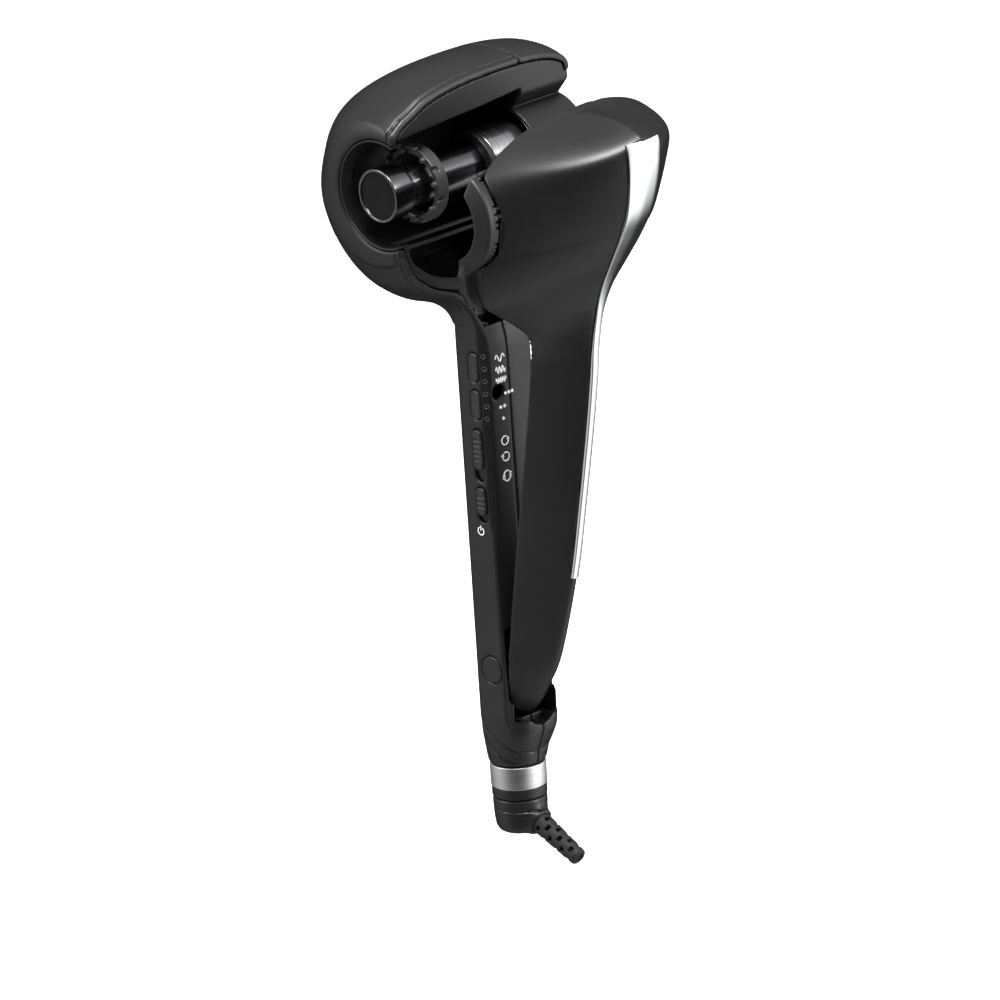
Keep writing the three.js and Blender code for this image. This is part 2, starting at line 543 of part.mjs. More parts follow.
// ---- hinge, collar and cord exit ----------------------------------------
const hingePin = rod('y', [PIVOT.x, PIVOT.z], 1.8, -11.2, 10.8, 20);
const pinCap = turned('y', [PIVOT.x, PIVOT.z], [[4.9, -12.7], [5.2, -12.4], [5.2, -11.8]], 28);
const springPath = [[-7, -4.1, 3.2], [-3, -4.1, 3.2]];
for (let k = 0; k <= 48; k++) {
  const t = Math.PI / 2 + (2 * Math.PI * k) / 12;
  springPath.push([3.2 * Math.cos(t), -4 + k * 0.155, 3.2 * Math.sin(t)]);
}
const springCurve = new THREE.CatmullRomCurve3(springPath.map(([x, y, z]) => new THREE.Vector3(x, y, z)));
const wire = new THREE.Shape([0, 1, 2, 3, 4].map((k) => (
  new THREE.Vector2(0.55 * Math.cos(k * Math.PI * 0.4), 0.55 * Math.sin(k * Math.PI * 0.4)))));
const spring = solid(new THREE.ExtrudeGeometry(wire, { steps: 50, bevelEnabled: false, extrudePath: springCurve }))
  .translate([PIVOT.x, 0, PIVOT.z]);

const collarCore = turned('z', [0, 0], [[8.5, -2.3], [8.5, 6.7], [6.2, 6.75], [6.2, 9.6]], 24)
  .subtract(rod('z', [0, 0], 4, -5, 15, 24));
const collarRing = turned('z', [0, 0], [[10.2, -2.5], [COLLAR_R, -2.1], [COLLAR_R, 5.9], [10.2, 6.3]], 36)
  .subtract(rod('z', [0, 0], 8.8, -5, 10, 28));
const swivelCollar = turned('z', [0, 0], [[10.1, -6.4], [10.3, -6], [10.3, -2.8]], 28)
  .subtract(rod('z', [0, 0], 4, -8, 0, 24));
const swivelElbow = turned('z', [0, 0], [[4, -20.6], [7.6, -20], [9.3, -17.6], [10, -12], [10.2, -6.8]], 28)
  .add(rod('z', [0, 0], 3.93, -7, 9, 24))
  .subtract(rod('z', [0, 0], 1.6, -14, 12, 12));
const RELIEF = { x: 6.4, z: -14.4, pitch: THREE.MathUtils.degToRad(27), length: 26.4 };
const reliefDir = [Math.cos(RELIEF.pitch), -Math.sin(RELIEF.pitch)];
function reliefRing(d, r, seg = 16) {
  const ring = [];
  for (let k = 0; k < seg; k++) {
    const t = (2 * Math.PI * k) / seg;
    const u = r * Math.cos(t);
    ring.push([RELIEF.x + reliefDir[0] * d - reliefDir[1] * u, r * Math.sin(t), RELIEF.z + reliefDir[1] * d + reliefDir[0] * u]);
  }
  return ring;
}
const reliefBody = loft([[0, 4.3], [5, 4.2], [25, 3.3], [26.2, 2.6]].map(([d, r]) => reliefRing(d, r)));
const elbowCut = loft([[-1, 4.6], [8, 4.6]].map(([d, r]) => reliefRing(d, r)));
const elbow = swivelElbow.subtract(elbowCut);
let strainRelief = reliefBody.subtract(loft([[4, 1.7], [30, 1.7]].map(([d, r]) => reliefRing(d, r, 10))));
for (let k = 0; k < 5; k++) {
  const d = 8 + k * 3.6;
  const slot = box(-0.7, 0.7, -10, 10, -10, -1.9).add(box(-0.7, 0.7, -10, 10, 1.9, 10));
  strainRelief = strainRelief.subtract(slot
    .rotate([k % 2 ? 90 : 0, 0, 0])
    .rotate([0, THREE.MathUtils.radToDeg(RELIEF.pitch), 0])
    .translate([RELIEF.x + reliefDir[0] * d, 0, RELIEF.z + reliefDir[1] * d]));
}
const handleScrew = (z) => rod('y', [-3, z], 2.3, 9.7, 11.6, 18)
  .add(rod('y', [-3, z], 1, -6, 10, 12))
  .subtract(box(-4.6, -1.4, 11, 13, z - 0.4, z + 0.4));

// ---- output -------------------------------------------------------------
const LOOKS = {
  shell: [0x17181a, 0.55, 0],
  trim: [0x0e0f10, 0.5, 0],
  inner: [0x0a0b0b, 0.7, 0],
  rubber: [0x151515, 0.85, 0],
  chrome: [0xd8dadd, 0.08, 1],
  steel: [0xa8a6a2, 0.35, 1],
  barrel: [0x5b5c60, 0.18, 1],
  brass: [0xb08d4a, 0.35, 1],
  gear: [0xd9d6cc, 0.6, 0],
  board: [0x1c5a34, 0.6, 0],
  light: [0xcfd4d8, 0.3, 0],
  ceramic: [0xe8e6e0, 0.5, 0],
};

const root = new THREE.Group();
const base = new THREE.Group();
base.position.set(-ORIGIN.x, -ORIGIN.y, -ORIGIN.z);
root.add(base);
const lidHinge = new THREE.Group();
lidHinge.position.set(PIVOT.x, 0, PIVOT.z);
lidHinge.rotation.y = THREE.MathUtils.degToRad(OPEN_DEG);
base.add(lidHinge);
const lid = new THREE.Group();
lid.position.set(-PIVOT.x, 0, -PIVOT.z);
lidHinge.add(lid);

function node(parent, name, body, look) {
  const [color, roughness, metalness] = LOOKS[look];
  const mesh = new THREE.Mesh(geometryOf(body), new THREE.MeshStandardMaterial({ color, roughness, metalness }));
  mesh.name = name;
  parent.add(mesh);
}

node(base, 'base_front_shell', frontShell, 'shell');
node(base, 'base_rear_shell', rearShell, 'shell');

node(base, 'chamber_liner', chamberLiner, 'inner');
node(base, 'outlet_ring', outletRing, 'trim');
node(base, 'rear_cover', rearCover, 'trim');
node(base, 'barrel_tube', barrelTube, 'barrel');
node(base, 'barrel_end_cap', endCap, 'barrel');
node(base, 'barrel_sleeve', sleeve, 'chrome');
node(base, 'heater_core', heaterCore, 'ceramic');
node(base, 'thermostat', thermostat, 'steel');
node(base, 'barrel_mount', barrelMount, 'ceramic');
node(base, 'hub_cover', hubCover, 'trim');
node(base, 'rotor_ring', rotorRing, 'trim');
node(base, 'rotor_gear', rotorGear, 'gear');
node(base, 'idler_gear', idlerGear, 'gear');
node(base, 'motor_pinion', motorPinion, 'brass');
node(base, 'motor_body', motorBody, 'steel');
node(base, 'gear_bracket', gearBracket, 'steel');
node(base, 'main_board', mainBoard, 'board');
node(base, 'lid_microswitch', microswitch, 'trim');
node(base, 'light_guide', lightGuide, 'light');
node(base, 'timer_button', button(TIMER), 'trim');
node(base, 'heat_button', button(HEAT), 'trim');
node(base, 'turn_slider', slider(TURN_SLOT, 15.4), 'trim');
node(base, 'power_slider', slider(POWER_SLOT, 10.8), 'trim');
node(base, 'hinge_pin', hingePin, 'steel');
node(base, 'hinge_pin_cap', pinCap, 'shell');
node(base, 'torsion_spring', spring, 'steel');
node(base, 'collar_core', collarCore, 'trim');
node(base, 'collar_ring', collarRing, 'steel');
node(base, 'swivel_collar', swivelCollar, 'trim');
node(base, 'swivel_elbow', elbow, 'trim');
node(base, 'strain_relief', strainRelief, 'rubber');
SCREW_Z.forEach((z, k) => node(base, `handle_screw_${k + 1}`, handleScrew(z), 'steel'));
node(lid, 'lid_shell', lidShell, 'shell');
node(lid, 'lid_liner', lidLiner, 'inner');
node(lid, 'lid_cover', lidCover, 'inner');
node(lid, 'chrome_strip', ridgeStrip(0.45, 0.75, 0), 'chrome');
node(lid, 'lid_plunger', lidPlunger, 'trim');
LID_SCREWS.forEach((z, k) => node(lid, `lid_screw_${k + 1}`, lidScrew(z), 'steel'));

export default root;
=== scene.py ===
# Looks of the automatic hair curler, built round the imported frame.
# Shapes are worked out in millimetres in the arm's own axes (Z along the handle, X to the lid) and
# moved into the frame's metres when a mesh is made.
import math

import bpy
import numpy as np
import openvdb as vdb
from mathutils import Matrix, Vector


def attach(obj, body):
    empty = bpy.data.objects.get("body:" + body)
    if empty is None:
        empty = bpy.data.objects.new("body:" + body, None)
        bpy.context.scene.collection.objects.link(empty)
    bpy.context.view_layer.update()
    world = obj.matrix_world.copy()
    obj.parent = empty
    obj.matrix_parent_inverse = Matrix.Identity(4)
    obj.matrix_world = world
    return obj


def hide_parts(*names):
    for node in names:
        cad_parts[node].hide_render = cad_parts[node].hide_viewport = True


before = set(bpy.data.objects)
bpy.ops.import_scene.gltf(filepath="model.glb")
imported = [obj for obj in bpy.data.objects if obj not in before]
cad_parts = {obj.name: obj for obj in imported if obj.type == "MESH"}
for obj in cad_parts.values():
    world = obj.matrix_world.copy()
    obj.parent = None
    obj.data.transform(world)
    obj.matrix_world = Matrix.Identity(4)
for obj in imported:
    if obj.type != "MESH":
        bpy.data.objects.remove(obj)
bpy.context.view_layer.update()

ORIGIN = np.array([18.882, -1.9, -28.69])  # the frame's origin in the arm's axes
PIVOT = np.array([2.4, 0.0, 45.6])         # lid's hinge pin
OPEN = math.radians(11)                    # lid's angle at rest
BX, BZ = -4.4, 236.2                       # barrel's axis
HX = -11.0                                 # middle of the head
CHAMBER_R = 20.8                           # winding chamber's radius
COVER_X = -22.6                            # rear cover's centre
SWITCH_Y, SWITCH_Z = -5.9, 153.0  # hole for the lid's plunger


# ---- materials ----------------------------------------------------------
def new_material(name):
    mat = bpy.data.materials.new(name)
    mat.use_nodes = True
    nt = mat.node_tree
    return mat, nt, nt.nodes["Principled BSDF"]


def noise(nt, scale, detail=4.0, rough=0.5):
    tc = nt.nodes.new("ShaderNodeTexCoord")
    n = nt.nodes.new("ShaderNodeTexNoise")
    n.inputs["Scale"].default_value = scale
    n.inputs["Detail"].default_value = detail
    n.inputs["Roughness"].default_value = rough
    nt.links.new(tc.outputs["Object"], n.inputs["Vector"])
    return n


def spread(nt, source, low, high):
    m = nt.nodes.new("ShaderNodeMapRange")
    m.inputs["To Min"].default_value = low
    m.inputs["To Max"].default_value = high
    nt.links.new(source, m.inputs["Value"])
    return m.outputs["Result"]


def plastic(name, color, rough, grain=0.06, scale=2600.0, spec=0.5, coat=0.0):
    mat, nt, bsdf = new_material(name)
    wide = noise(nt, 26.0, 3.0)
    ramp = nt.nodes.new("ShaderNodeValToRGB")
    dark = [c * 0.82 for c in color]
    lite = [c * 1.2 for c in color]
    ramp.color_ramp.elements[0].position = 0.3
    ramp.color_ramp.elements[1].position = 0.7
    ramp.color_ramp.elements[0].color = (*dark, 1)
    ramp.color_ramp.elements[1].color = (*lite, 1)
    nt.links.new(wide.outputs["Fac"], ramp.inputs["Fac"])
    nt.links.new(ramp.outputs["Color"], bsdf.inputs["Base Color"])
    smear = noise(nt, 60.0, 5.0, 0.6)
    nt.links.new(spread(nt, smear.outputs["Fac"], rough - 0.05, rough + 0.05), bsdf.inputs["Roughness"])
    bsdf.inputs["Specular IOR Level"].default_value = spec
    bsdf.inputs["Coat Weight"].default_value = coat
    if grain > 0:
        fine = noise(nt, scale, 2.0)
        bump = nt.nodes.new("ShaderNodeBump")
        bump.inputs["Strength"].default_value = grain
        bump.inputs["Distance"].default_value = 0.0001
        nt.links.new(fine.outputs["Fac"], bump.inputs["Height"])
        nt.links.new(bump.outputs["Normal"], bsdf.inputs["Normal"])
    return mat


def metal(name, color, rough, brushed=None, streak=0.25):
    mat, nt, bsdf = new_material(name)
    bsdf.inputs["Metallic"].default_value = 1.0
    bsdf.inputs["Base Color"].default_value = (*color, 1)
    if brushed:
        tc = nt.nodes.new("ShaderNodeTexCoord")
        mp = nt.nodes.new("ShaderNodeMapping")
        mp.inputs["Scale"].default_value = brushed
        n = nt.nodes.new("ShaderNodeTexNoise")
        n.inputs["Scale"].default_value = 1.0
        n.inputs["Detail"].default_value = 3.0
        nt.links.new(tc.outputs["Object"], mp.inputs["Vector"])
        nt.links.new(mp.outputs["Vector"], n.inputs["Vector"])
        src = n.outputs["Fac"]
        ramp = nt.nodes.new("ShaderNodeValToRGB")
        ramp.color_ramp.elements[0].position = 0.35
        ramp.color_ramp.elements[1].position = 0.65
        ramp.color_ramp.elements[0].color = (*[c * (1 - streak) for c in color], 1)
        ramp.color_ramp.elements[1].color = (*[min(1, c * (1 + streak)) for c in color], 1)
        nt.links.new(src, ramp.inputs["Fac"])
        nt.links.new(ramp.outputs["Color"], bsdf.inputs["Base Color"])
        nt.links.new(spread(nt, src, rough - 0.08, rough + 0.1), bsdf.inputs["Roughness"])
    else:
        n = noise(nt, 90.0, 4.0)
        level = spread(nt, n.outputs["Fac"], max(0.01, rough - 0.02), rough + 0.04)
        nt.links.new(level, bsdf.inputs["Roughness"])
    return mat


SOFT = plastic("soft_touch_black", (0.008, 0.008, 0.0085), 0.4, grain=0.05, spec=0.42)
SOFT_LID = plastic("soft_touch_black_lid", (0.008, 0.008, 0.0085), 0.36, grain=0.05, spec=0.46)
INNER = plastic("moulded_black", (0.007, 0.007, 0.0075), 0.42, grain=0.08, scale=1800.0, spec=0.4)
INNER_LID = plastic("moulded_black_lid", (0.009, 0.009, 0.0095), 0.45, grain=0.08, scale=1800.0, spec=0.4)
TRIM = plastic("satin_black", (0.008, 0.008, 0.0085), 0.36, grain=0.04, spec=0.45)
KEYS = plastic("key_black", (0.013, 0.013, 0.014), 0.38, grain=0.05, spec=0.45)
RUBBER = plastic("relief_black", (0.011, 0.011, 0.011), 0.62, grain=0.12, scale=1500.0, spec=0.35)
ROTOR = plastic("rotor_dark", (0.03, 0.03, 0.031), 0.4, grain=0.08, scale=1600.0, spec=0.5)
GEAR = plastic("gear_natural", (0.5, 0.48, 0.43), 0.45, grain=0.05)
BOARD = plastic("solder_mask", (0.008, 0.03, 0.014), 0.4, grain=0.03)
CERAMIC = plastic("fired_ceramic", (0.72, 0.7, 0.66), 0.6, grain=0.1)
PRINT = plastic("white_print", (0.75, 0.75, 0.75), 0.5, grain=0.02)
LED = plastic("light_post", (0.05, 0.052, 0.055), 0.25, grain=0.0, coat=0.3)
CHROME = metal("mirror_chrome", (0.86, 0.87, 0.88), 0.045)
BARREL = metal("dark_polished_barrel", (0.16, 0.16, 0.17), 0.2, brushed=(900.0, 30.0, 900.0), streak=0.12)
SLEEVE = metal("polished_sleeve", (0.42, 0.42, 0.43), 0.24, brushed=(30.0, 1400.0, 30.0), streak=0.1)
FACE = plastic("barrel_face", (0.006, 0.006, 0.0065), 0.34, grain=0.05, spec=0.08)
STEEL = metal("brushed_ring", (0.76, 0.75, 0.75), 0.42, brushed=(60.0, 60.0, 5200.0), streak=0.08)
HIDDEN_STEEL = metal("plain_steel", (0.42, 0.42, 0.43), 0.35, brushed=(400.0, 400.0, 400.0), streak=0.1)
BRASS = metal("turned_brass", (0.62, 0.45, 0.2), 0.3, brushed=(300.0, 2000.0, 300.0), streak=0.12)


# ---- making meshes ------------------------------------------------------
def to_frame(points, lid=False):
    """The arm's millimetres to the frame's metres; the lid's points are swung open first."""
    p = np.asarray(points, dtype=np.float64)
    if lid:
        q = p - PIVOT
        c, s = math.cos(OPEN), math.sin(OPEN)
        p = PIVOT + np.stack([q[:, 0] * c + q[:, 2] * s, q[:, 1], -q[:, 0] * s + q[:, 2] * c], 1)
    return (p - ORIGIN) / 1000.0


def piece(name, points, faces, mat, body, slot, replaces=(), lid=False, smooth=True, angle=35.0):
    mesh = bpy.data.meshes.new(name)
    mesh.from_pydata(to_frame(points, lid).tolist(), [], [list(map(int, f)) for f in faces])
    mesh.validate()
    obj = bpy.data.objects.new(name, mesh)
    bpy.context.collection.objects.link(obj)
    mesh.materials.append(mat)
    if smooth:
        mesh.shade_smooth()
        mesh.set_sharp_from_angle(angle=math.radians(angle))
    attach(obj, body)
    if replaces:
        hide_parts(*replaces)
    return obj


class Grid:
    """A block of sample points at spacing h, with x, y and z ready to broadcast."""

    def __init__(self, lo, hi, h):
        self.h = h
        self.lo = np.array(lo, dtype=np.float64) - 3 * h
        n = [int(math.ceil((hi[i] + 3 * h - self.lo[i]) / h)) + 1 for i in range(3)]
        axes = [(self.lo[i] + h * np.arange(n[i])).astype(np.float32) for i in range(3)]
        self.x = axes[0][:, None, None]
        self.y = axes[1][None, :, None]
        self.z = axes[2][None, None, :]
        self.shape = tuple(n)

    def layers(self, start, stop=None):
        """Part of the same block, from one z layer to another."""
        part = Grid.__new__(Grid)
        part.h, part.x, part.y, part.z = self.h, self.x, self.y, self.z[:, :, start:stop]
        return part


def mesh_of(field, grid):
    """Quads over the surface where the field is zero."""
    band = 3 * grid.h
    arr = np.clip(np.broadcast_to(field, grid.shape), -band, band).astype(np.float32)
    for cut in (np.s_[0], np.s_[-1], np.s_[:, 0], np.s_[:, -1], np.s_[:, :, 0], np.s_[:, :, -1]):
        arr[cut] = band
    g = vdb.FloatGrid(band)
    g.copyFromArray(np.ascontiguousarray(arr))
    pts, quads = g.convertToQuads(0.0)
    pts = pts.astype(np.float64) * grid.h + grid.lo
    a, b, c = pts[quads[:, 0]], pts[quads[:, 1]], pts[quads[:, 2]]
    if np.einsum("ij,ij->i", a, np.cross(b, c)).sum() < 0:
        quads = quads[:, ::-1]
    return pts, quads


def field_of(points, faces, grid, band=6.0):
    """Distance to a closed mesh, sampled on the grid and capped at the band."""
    faces = np.asarray(faces)
    pts = ((np.asarray(points) - grid.lo) / grid.h).astype(np.float32)
    tris = faces[:, :3] if faces.shape[1] == 3 else np.concatenate([faces[:, [0, 1, 2]], faces[:, [0, 2, 3]]])
    tris = tris.astype(np.uint32)
    g = vdb.FloatGrid.createLevelSetFromPolygons(pts, triangles=tris, halfWidth=band / grid.h)
    arr = np.full(grid.shape, g.background, dtype=np.float32)
    g.copyToArray(arr)
    return arr * grid.h


def grid_faces(m, n):
    """Quads between m closed rings of n points each."""
    return [(i * n + a, i * n + (a + 1) % n, (i + 1) * n + (a + 1) % n, (i + 1) * n + a)
            for i in range(m - 1) for a in range(n)]


def smin(a, b, k):
    """Minimum of two fields, blended where they are less than k apart."""
    h = np.maximum(k - np.abs(a - b), 0) / k
    return np.minimum(a, b) - h * h * k * 0.25


def smax(a, b, k):
    """Maximum of two fields, blended the same way."""
    return -smin(-a, -b, k)


def ring_field(gx, gz, cx, cz, r):
    """Distance from a circle, along any two of the grid's axes."""
    return np.sqrt((gx - cx) ** 2 + (gz - cz) ** 2) - r


def box_field(g, lo, hi, r=0.0):
    """Distance from a box with edges rounded by r."""
    d = [np.maximum(lo[i] + r - a, a - hi[i] + r) for i, a in enumerate((g.x, g.y, g.z))]
    out = np.sqrt(sum(np.maximum(q, 0) ** 2 for q in d))
    return out + np.minimum(np.maximum(np.maximum(d[0], d[1]), d[2]), 0) - r


def curve_table(xs, ys):
    """Smooth curve through the table's points that never overshoots."""
    xs, ys = np.array(xs, float), np.array(ys, float)
    h = np.diff(xs)
    d = np.diff(ys) / h
    m = np.zeros(len(xs))
    for i in range(1, len(xs) - 1):
        if d[i - 1] * d[i] > 0:
            w1, w2 = 2 * h[i] + h[i - 1], h[i] + 2 * h[i - 1]
            m[i] = (w1 + w2) / (w1 / d[i - 1] + w2 / d[i])
    m[0], m[-1] = d[0], d[-1]

    def at(x):
        x = np.clip(x, xs[0], xs[-1])
        i = np.clip(np.searchsorted(xs, x) - 1, 0, len(h) - 1)
        t = (x - xs[i]) / h[i]
        y = ((2 * t ** 3 - 3 * t ** 2 + 1) * ys[i] + (t ** 3 - 2 * t ** 2 + t) * h[i] * m[i]
             + (-2 * t ** 3 + 3 * t ** 2) * ys[i + 1] + (t ** 3 - t ** 2) * h[i] * m[i + 1])
        return y.astype(np.float32)
    return at


# ---- base housing -------------------------------------------------------
HEAD = [
    [-44, 27.7, 28, 28.9], [-40, 31, 30.3, 37.2], [-35, 33.6, 32.2, 41.5], [-28, 36.3, 35.2, 45.5],
    [-20, 38.2, 37, 47.8], [-10, 39.6, 38.3, 49.4], [0, 40.5, 38.9, 50], [10, 40.9, 39.1, 50],
    [20, 40.8, 39, 48.6], [28, 39.9, 38.5, 46], [36, 37.8, 37.3, 41.8], [42, 35, 35.2, 36],
    [45, 32.4, 33, 32],
]
CUP = [[7, 10.8, 10.8, 10.8, 2], [12, 10.5, 11.6, 11.3, 2.3], [17, 9.8, 13.6, 12, 2.7],
       [22, 9.3, 15.2, 12.4, 3.1], [30, 9, 15.4, 12.5, 3.4], [44, 9, 15.4, 12.5, 3.6]]


def head_field(g):
    """Drum with a squarer upper half and a rounded front."""
    ys = [r[0] for r in HEAD]
    a = curve_table(ys, [r[1] for r in HEAD])(g.y)
    up = curve_table(ys, [r[2] for r in HEAD])(g.y)
    down = curve_table(ys, [r[3] for r in HEAD])(g.y)
    dx, dz = g.x - HX, g.z - BZ
    t = np.clip(0.5 + dz / 24.0, 0, 1)
    t = t * t * (3 - 2 * t)
    b = down * (1 - t) + up * t
    n = 2 + 0.12 * t
    u, v = np.abs(dx) / a + 1e-6, np.abs(dz) / b + 1e-6
    rho = (u ** n + v ** n) ** (1 / n)
    da, db = np.gradient(a, axis=1) / g.h, np.gradient(b, axis=1) / g.h
    gu, gv = (u / rho) ** (n - 1), (v / rho) ** (n - 1)
    grad = np.sqrt((gu / a) ** 2 + (gv / b) ** 2 + (gu * u / a * da + gv * v / b * db) ** 2)
    body = (rho - 1) / np.maximum(grad, 0.012)
    r = np.sqrt((g.x - BX + 1.2) ** 2 + dz ** 2)
    front = (-46.3 + (0.02 + 0.02 * t) * np.maximum(r - 21.5, 0) ** 2) - g.y
    body = smax(body, front * 0.97, 2.2)
    return smax(body, g.y - 45.2, 1.6)


def oval_field(g, low, high, w, n):
    """Distance from an oval that reaches low on -X and high on +X."""
    reach = np.where(g.x > 0, high, low)
    u, v = np.abs(g.x) / reach, np.abs(g.y) / w
    rho = (u ** n + v ** n) ** (1 / n) + 1e-6
    grad = np.sqrt((u ** (n - 1) / reach) ** 2 + (v ** (n - 1) / w) ** 2) / rho ** (n - 1)
    return (rho - 1) / np.maximum(grad, 0.03)


def rim_height(y):
    """Height of the cup's rim across its width."""
    return 23.6 + 14.4 * np.minimum(np.abs(y) / 12.9, 1) ** 2.2


def cup_field(g):
    zs = [r[0] for r in CUP]
    return oval_field(g, *[curve_table(zs, [r[k] for r in CUP])(g.z) for k in (1, 2, 3, 4)])


def arm_field(g):
    """Handle section: round back corners, tight inner corners."""
    qx = np.abs(g.x) - 9
    r = np.where(g.x < 0, 6.4, 1.6)
    qy = np.abs(g.y) - 12.5
    ax, ay = np.maximum(qx + r, 0), np.maximum(qy + r, 0)
    return np.sqrt(ax * ax + ay * ay) + np.minimum(np.maximum(qx + r, qy + r), 0) - r


BUTTONS = [(3.4, 163.2, 5.0, 11.6), (3.4, 148.8, 5.0, 11.6)]
SLOTS = [(3.2, 129.2, 5.0, 20.4), (3.2, 110.1, 5.0, 13.8)]
LED_Z = [167.7 - 4.8 * k for k in range(6)]


def oblong_field(g, cx, cz, w, l):
    """Distance from an upright oblong with round ends."""
    r = w / 2
    dz = np.maximum(np.abs(g.z - cz) - (l / 2 - r), 0)
    return np.sqrt((g.x - cx) ** 2 + dz ** 2) - r


def base_shells():
    """The housing as one field, and the field that parts its two halves."""
    g = Grid((-53, -47, 6.8), (16, 46, 276), 0.5)
    outer = np.full(g.shape, 12.0, dtype=np.float32)
    # handle and cup fill the layers below 214, the head those above 178
    arm_top, head_foot = (int(np.searchsorted(g.z[0, 0], z)) for z in (214.0, 178.0))
    low = g.layers(0, arm_top)
    handle = arm_field(low)
    c = np.clip((low.z - 92) / 16, 0, 1) * 2.9
    bevel = (low.x - 9 - low.y - 12.5 + c) * 0.7071
    handle = smax(handle, bevel, 0.5)
    handle = smax(handle, np.maximum(24.0 - low.z, low.z - 196), 2.0)
    cup = smax(cup_field(low), 7.0 - low.z, 1.2)
    cup = np.maximum(cup, low.z - 42)
    cup = smax(cup, -np.maximum(9.0 - low.x, rim_height(low.y) - low.z), 0.8)
    outer[:, :, :arm_top] = np.minimum(cup, handle)
    head = head_field(g.layers(head_foot))
    outer[:, :, head_foot:] = smin(outer[:, :, head_foot:], head, 14.0)
    # the parting face with the slope at the neck
    slope = ((g.x - 4.0) * 16 + (g.z - 188.0) * 5) / math.hypot(16, 5)
    part = np.where(g.z > 188, g.x - 4.0, smax(g.x - 9.0, slope, 2.0))
    part = np.where(g.z < 60, g.x - 15.6, part)
    skin = smax(outer, part, 0.9)
    # hollow
    hollow = outer + 2.1
    well = box_field(g, (-5, -10.6, 26), (30, 10.6, 62), 1.0)
    hollow = np.minimum(hollow, well)
    body = np.maximum(skin, -hollow)
    body = smax(body, -np.maximum(ring_field(g.x, g.z, BX, BZ, 20.9), g.y + 38), 1.2)
    # rear channel and cover seat
    vee = (np.abs(g.z - BZ) - (10.7 + (g.x + 9.9) * 1.2)) * 0.64
    body = np.maximum(body, -np.maximum(np.maximum(vee, -9.9 - g.x), 40 - g.y))
    hub = np.maximum(ring_field(g.x, g.z, BX, BZ, 17.4), np.maximum(-11.2 - g.x, 40 - g.y))
    body = np.maximum(body, -hub)
    body = np.maximum(body, -np.maximum(ring_field(g.x, g.z, COVER_X, BZ, 11.25), 42 - g.y))
    body = np.maximum(body, -np.maximum(ring_field(g.x, g.y, 0, 0, 6.5), g.z - 12))
    plunger_hole = np.sqrt((g.y - SWITCH_Y) ** 2 + (g.z - SWITCH_Z) ** 2) - 3.1
    body = np.maximum(body, -np.maximum(plunger_hole, 5 - g.x))
    # pin cap recess, key openings and sunk rims
    body = np.maximum(body, -np.maximum(ring_field(g.x, g.z, PIVOT[0], PIVOT[2], 5.45), g.y + 11.6))
    for cx, cz, w, l in BUTTONS + SLOTS:
        body = smax(body, -np.maximum(oblong_field(g, cx, cz, w, l), g.y + 8), 0.7)
    # screw holes in the back of the handle
    for z in (66, 88):
        body = smax(body, -np.maximum(np.sqrt((g.x + 3) ** 2 + (g.z - z) ** 2) - 2.6, 9.5 - g.y), 0.5)
    # two slanted seams on the cup
    for z0, tilt in ((19.0, 0.577), (12.2, 0.52)):
        off = np.abs(g.z - z0 + tilt * g.x) / math.hypot(1, tilt)
        body = np.maximum(body, -np.maximum(off - 0.36, -(outer + 0.55)))
    # line along the head's edge
    edge = np.maximum(np.abs(g.x - 1.7) - 0.33, -(outer + 0.5))
    body = np.maximum(body, -np.maximum(edge, 186 - g.z))
    rear = np.minimum(20.0 - g.y, np.maximum(-g.y, g.z - 196.0))
    return g, body, rear


g, body, rear = base_shells()
for name, side, node in (("base_front_skin", -rear, "base_front_shell"),
                         ("base_rear_skin", rear, "base_rear_shell")):
    pts, quads = mesh_of(smax(body, side + 0.08, 0.6), g)
    piece(name, pts, quads, SOFT, "housing", "base_black", (node,))
del g, body, rear


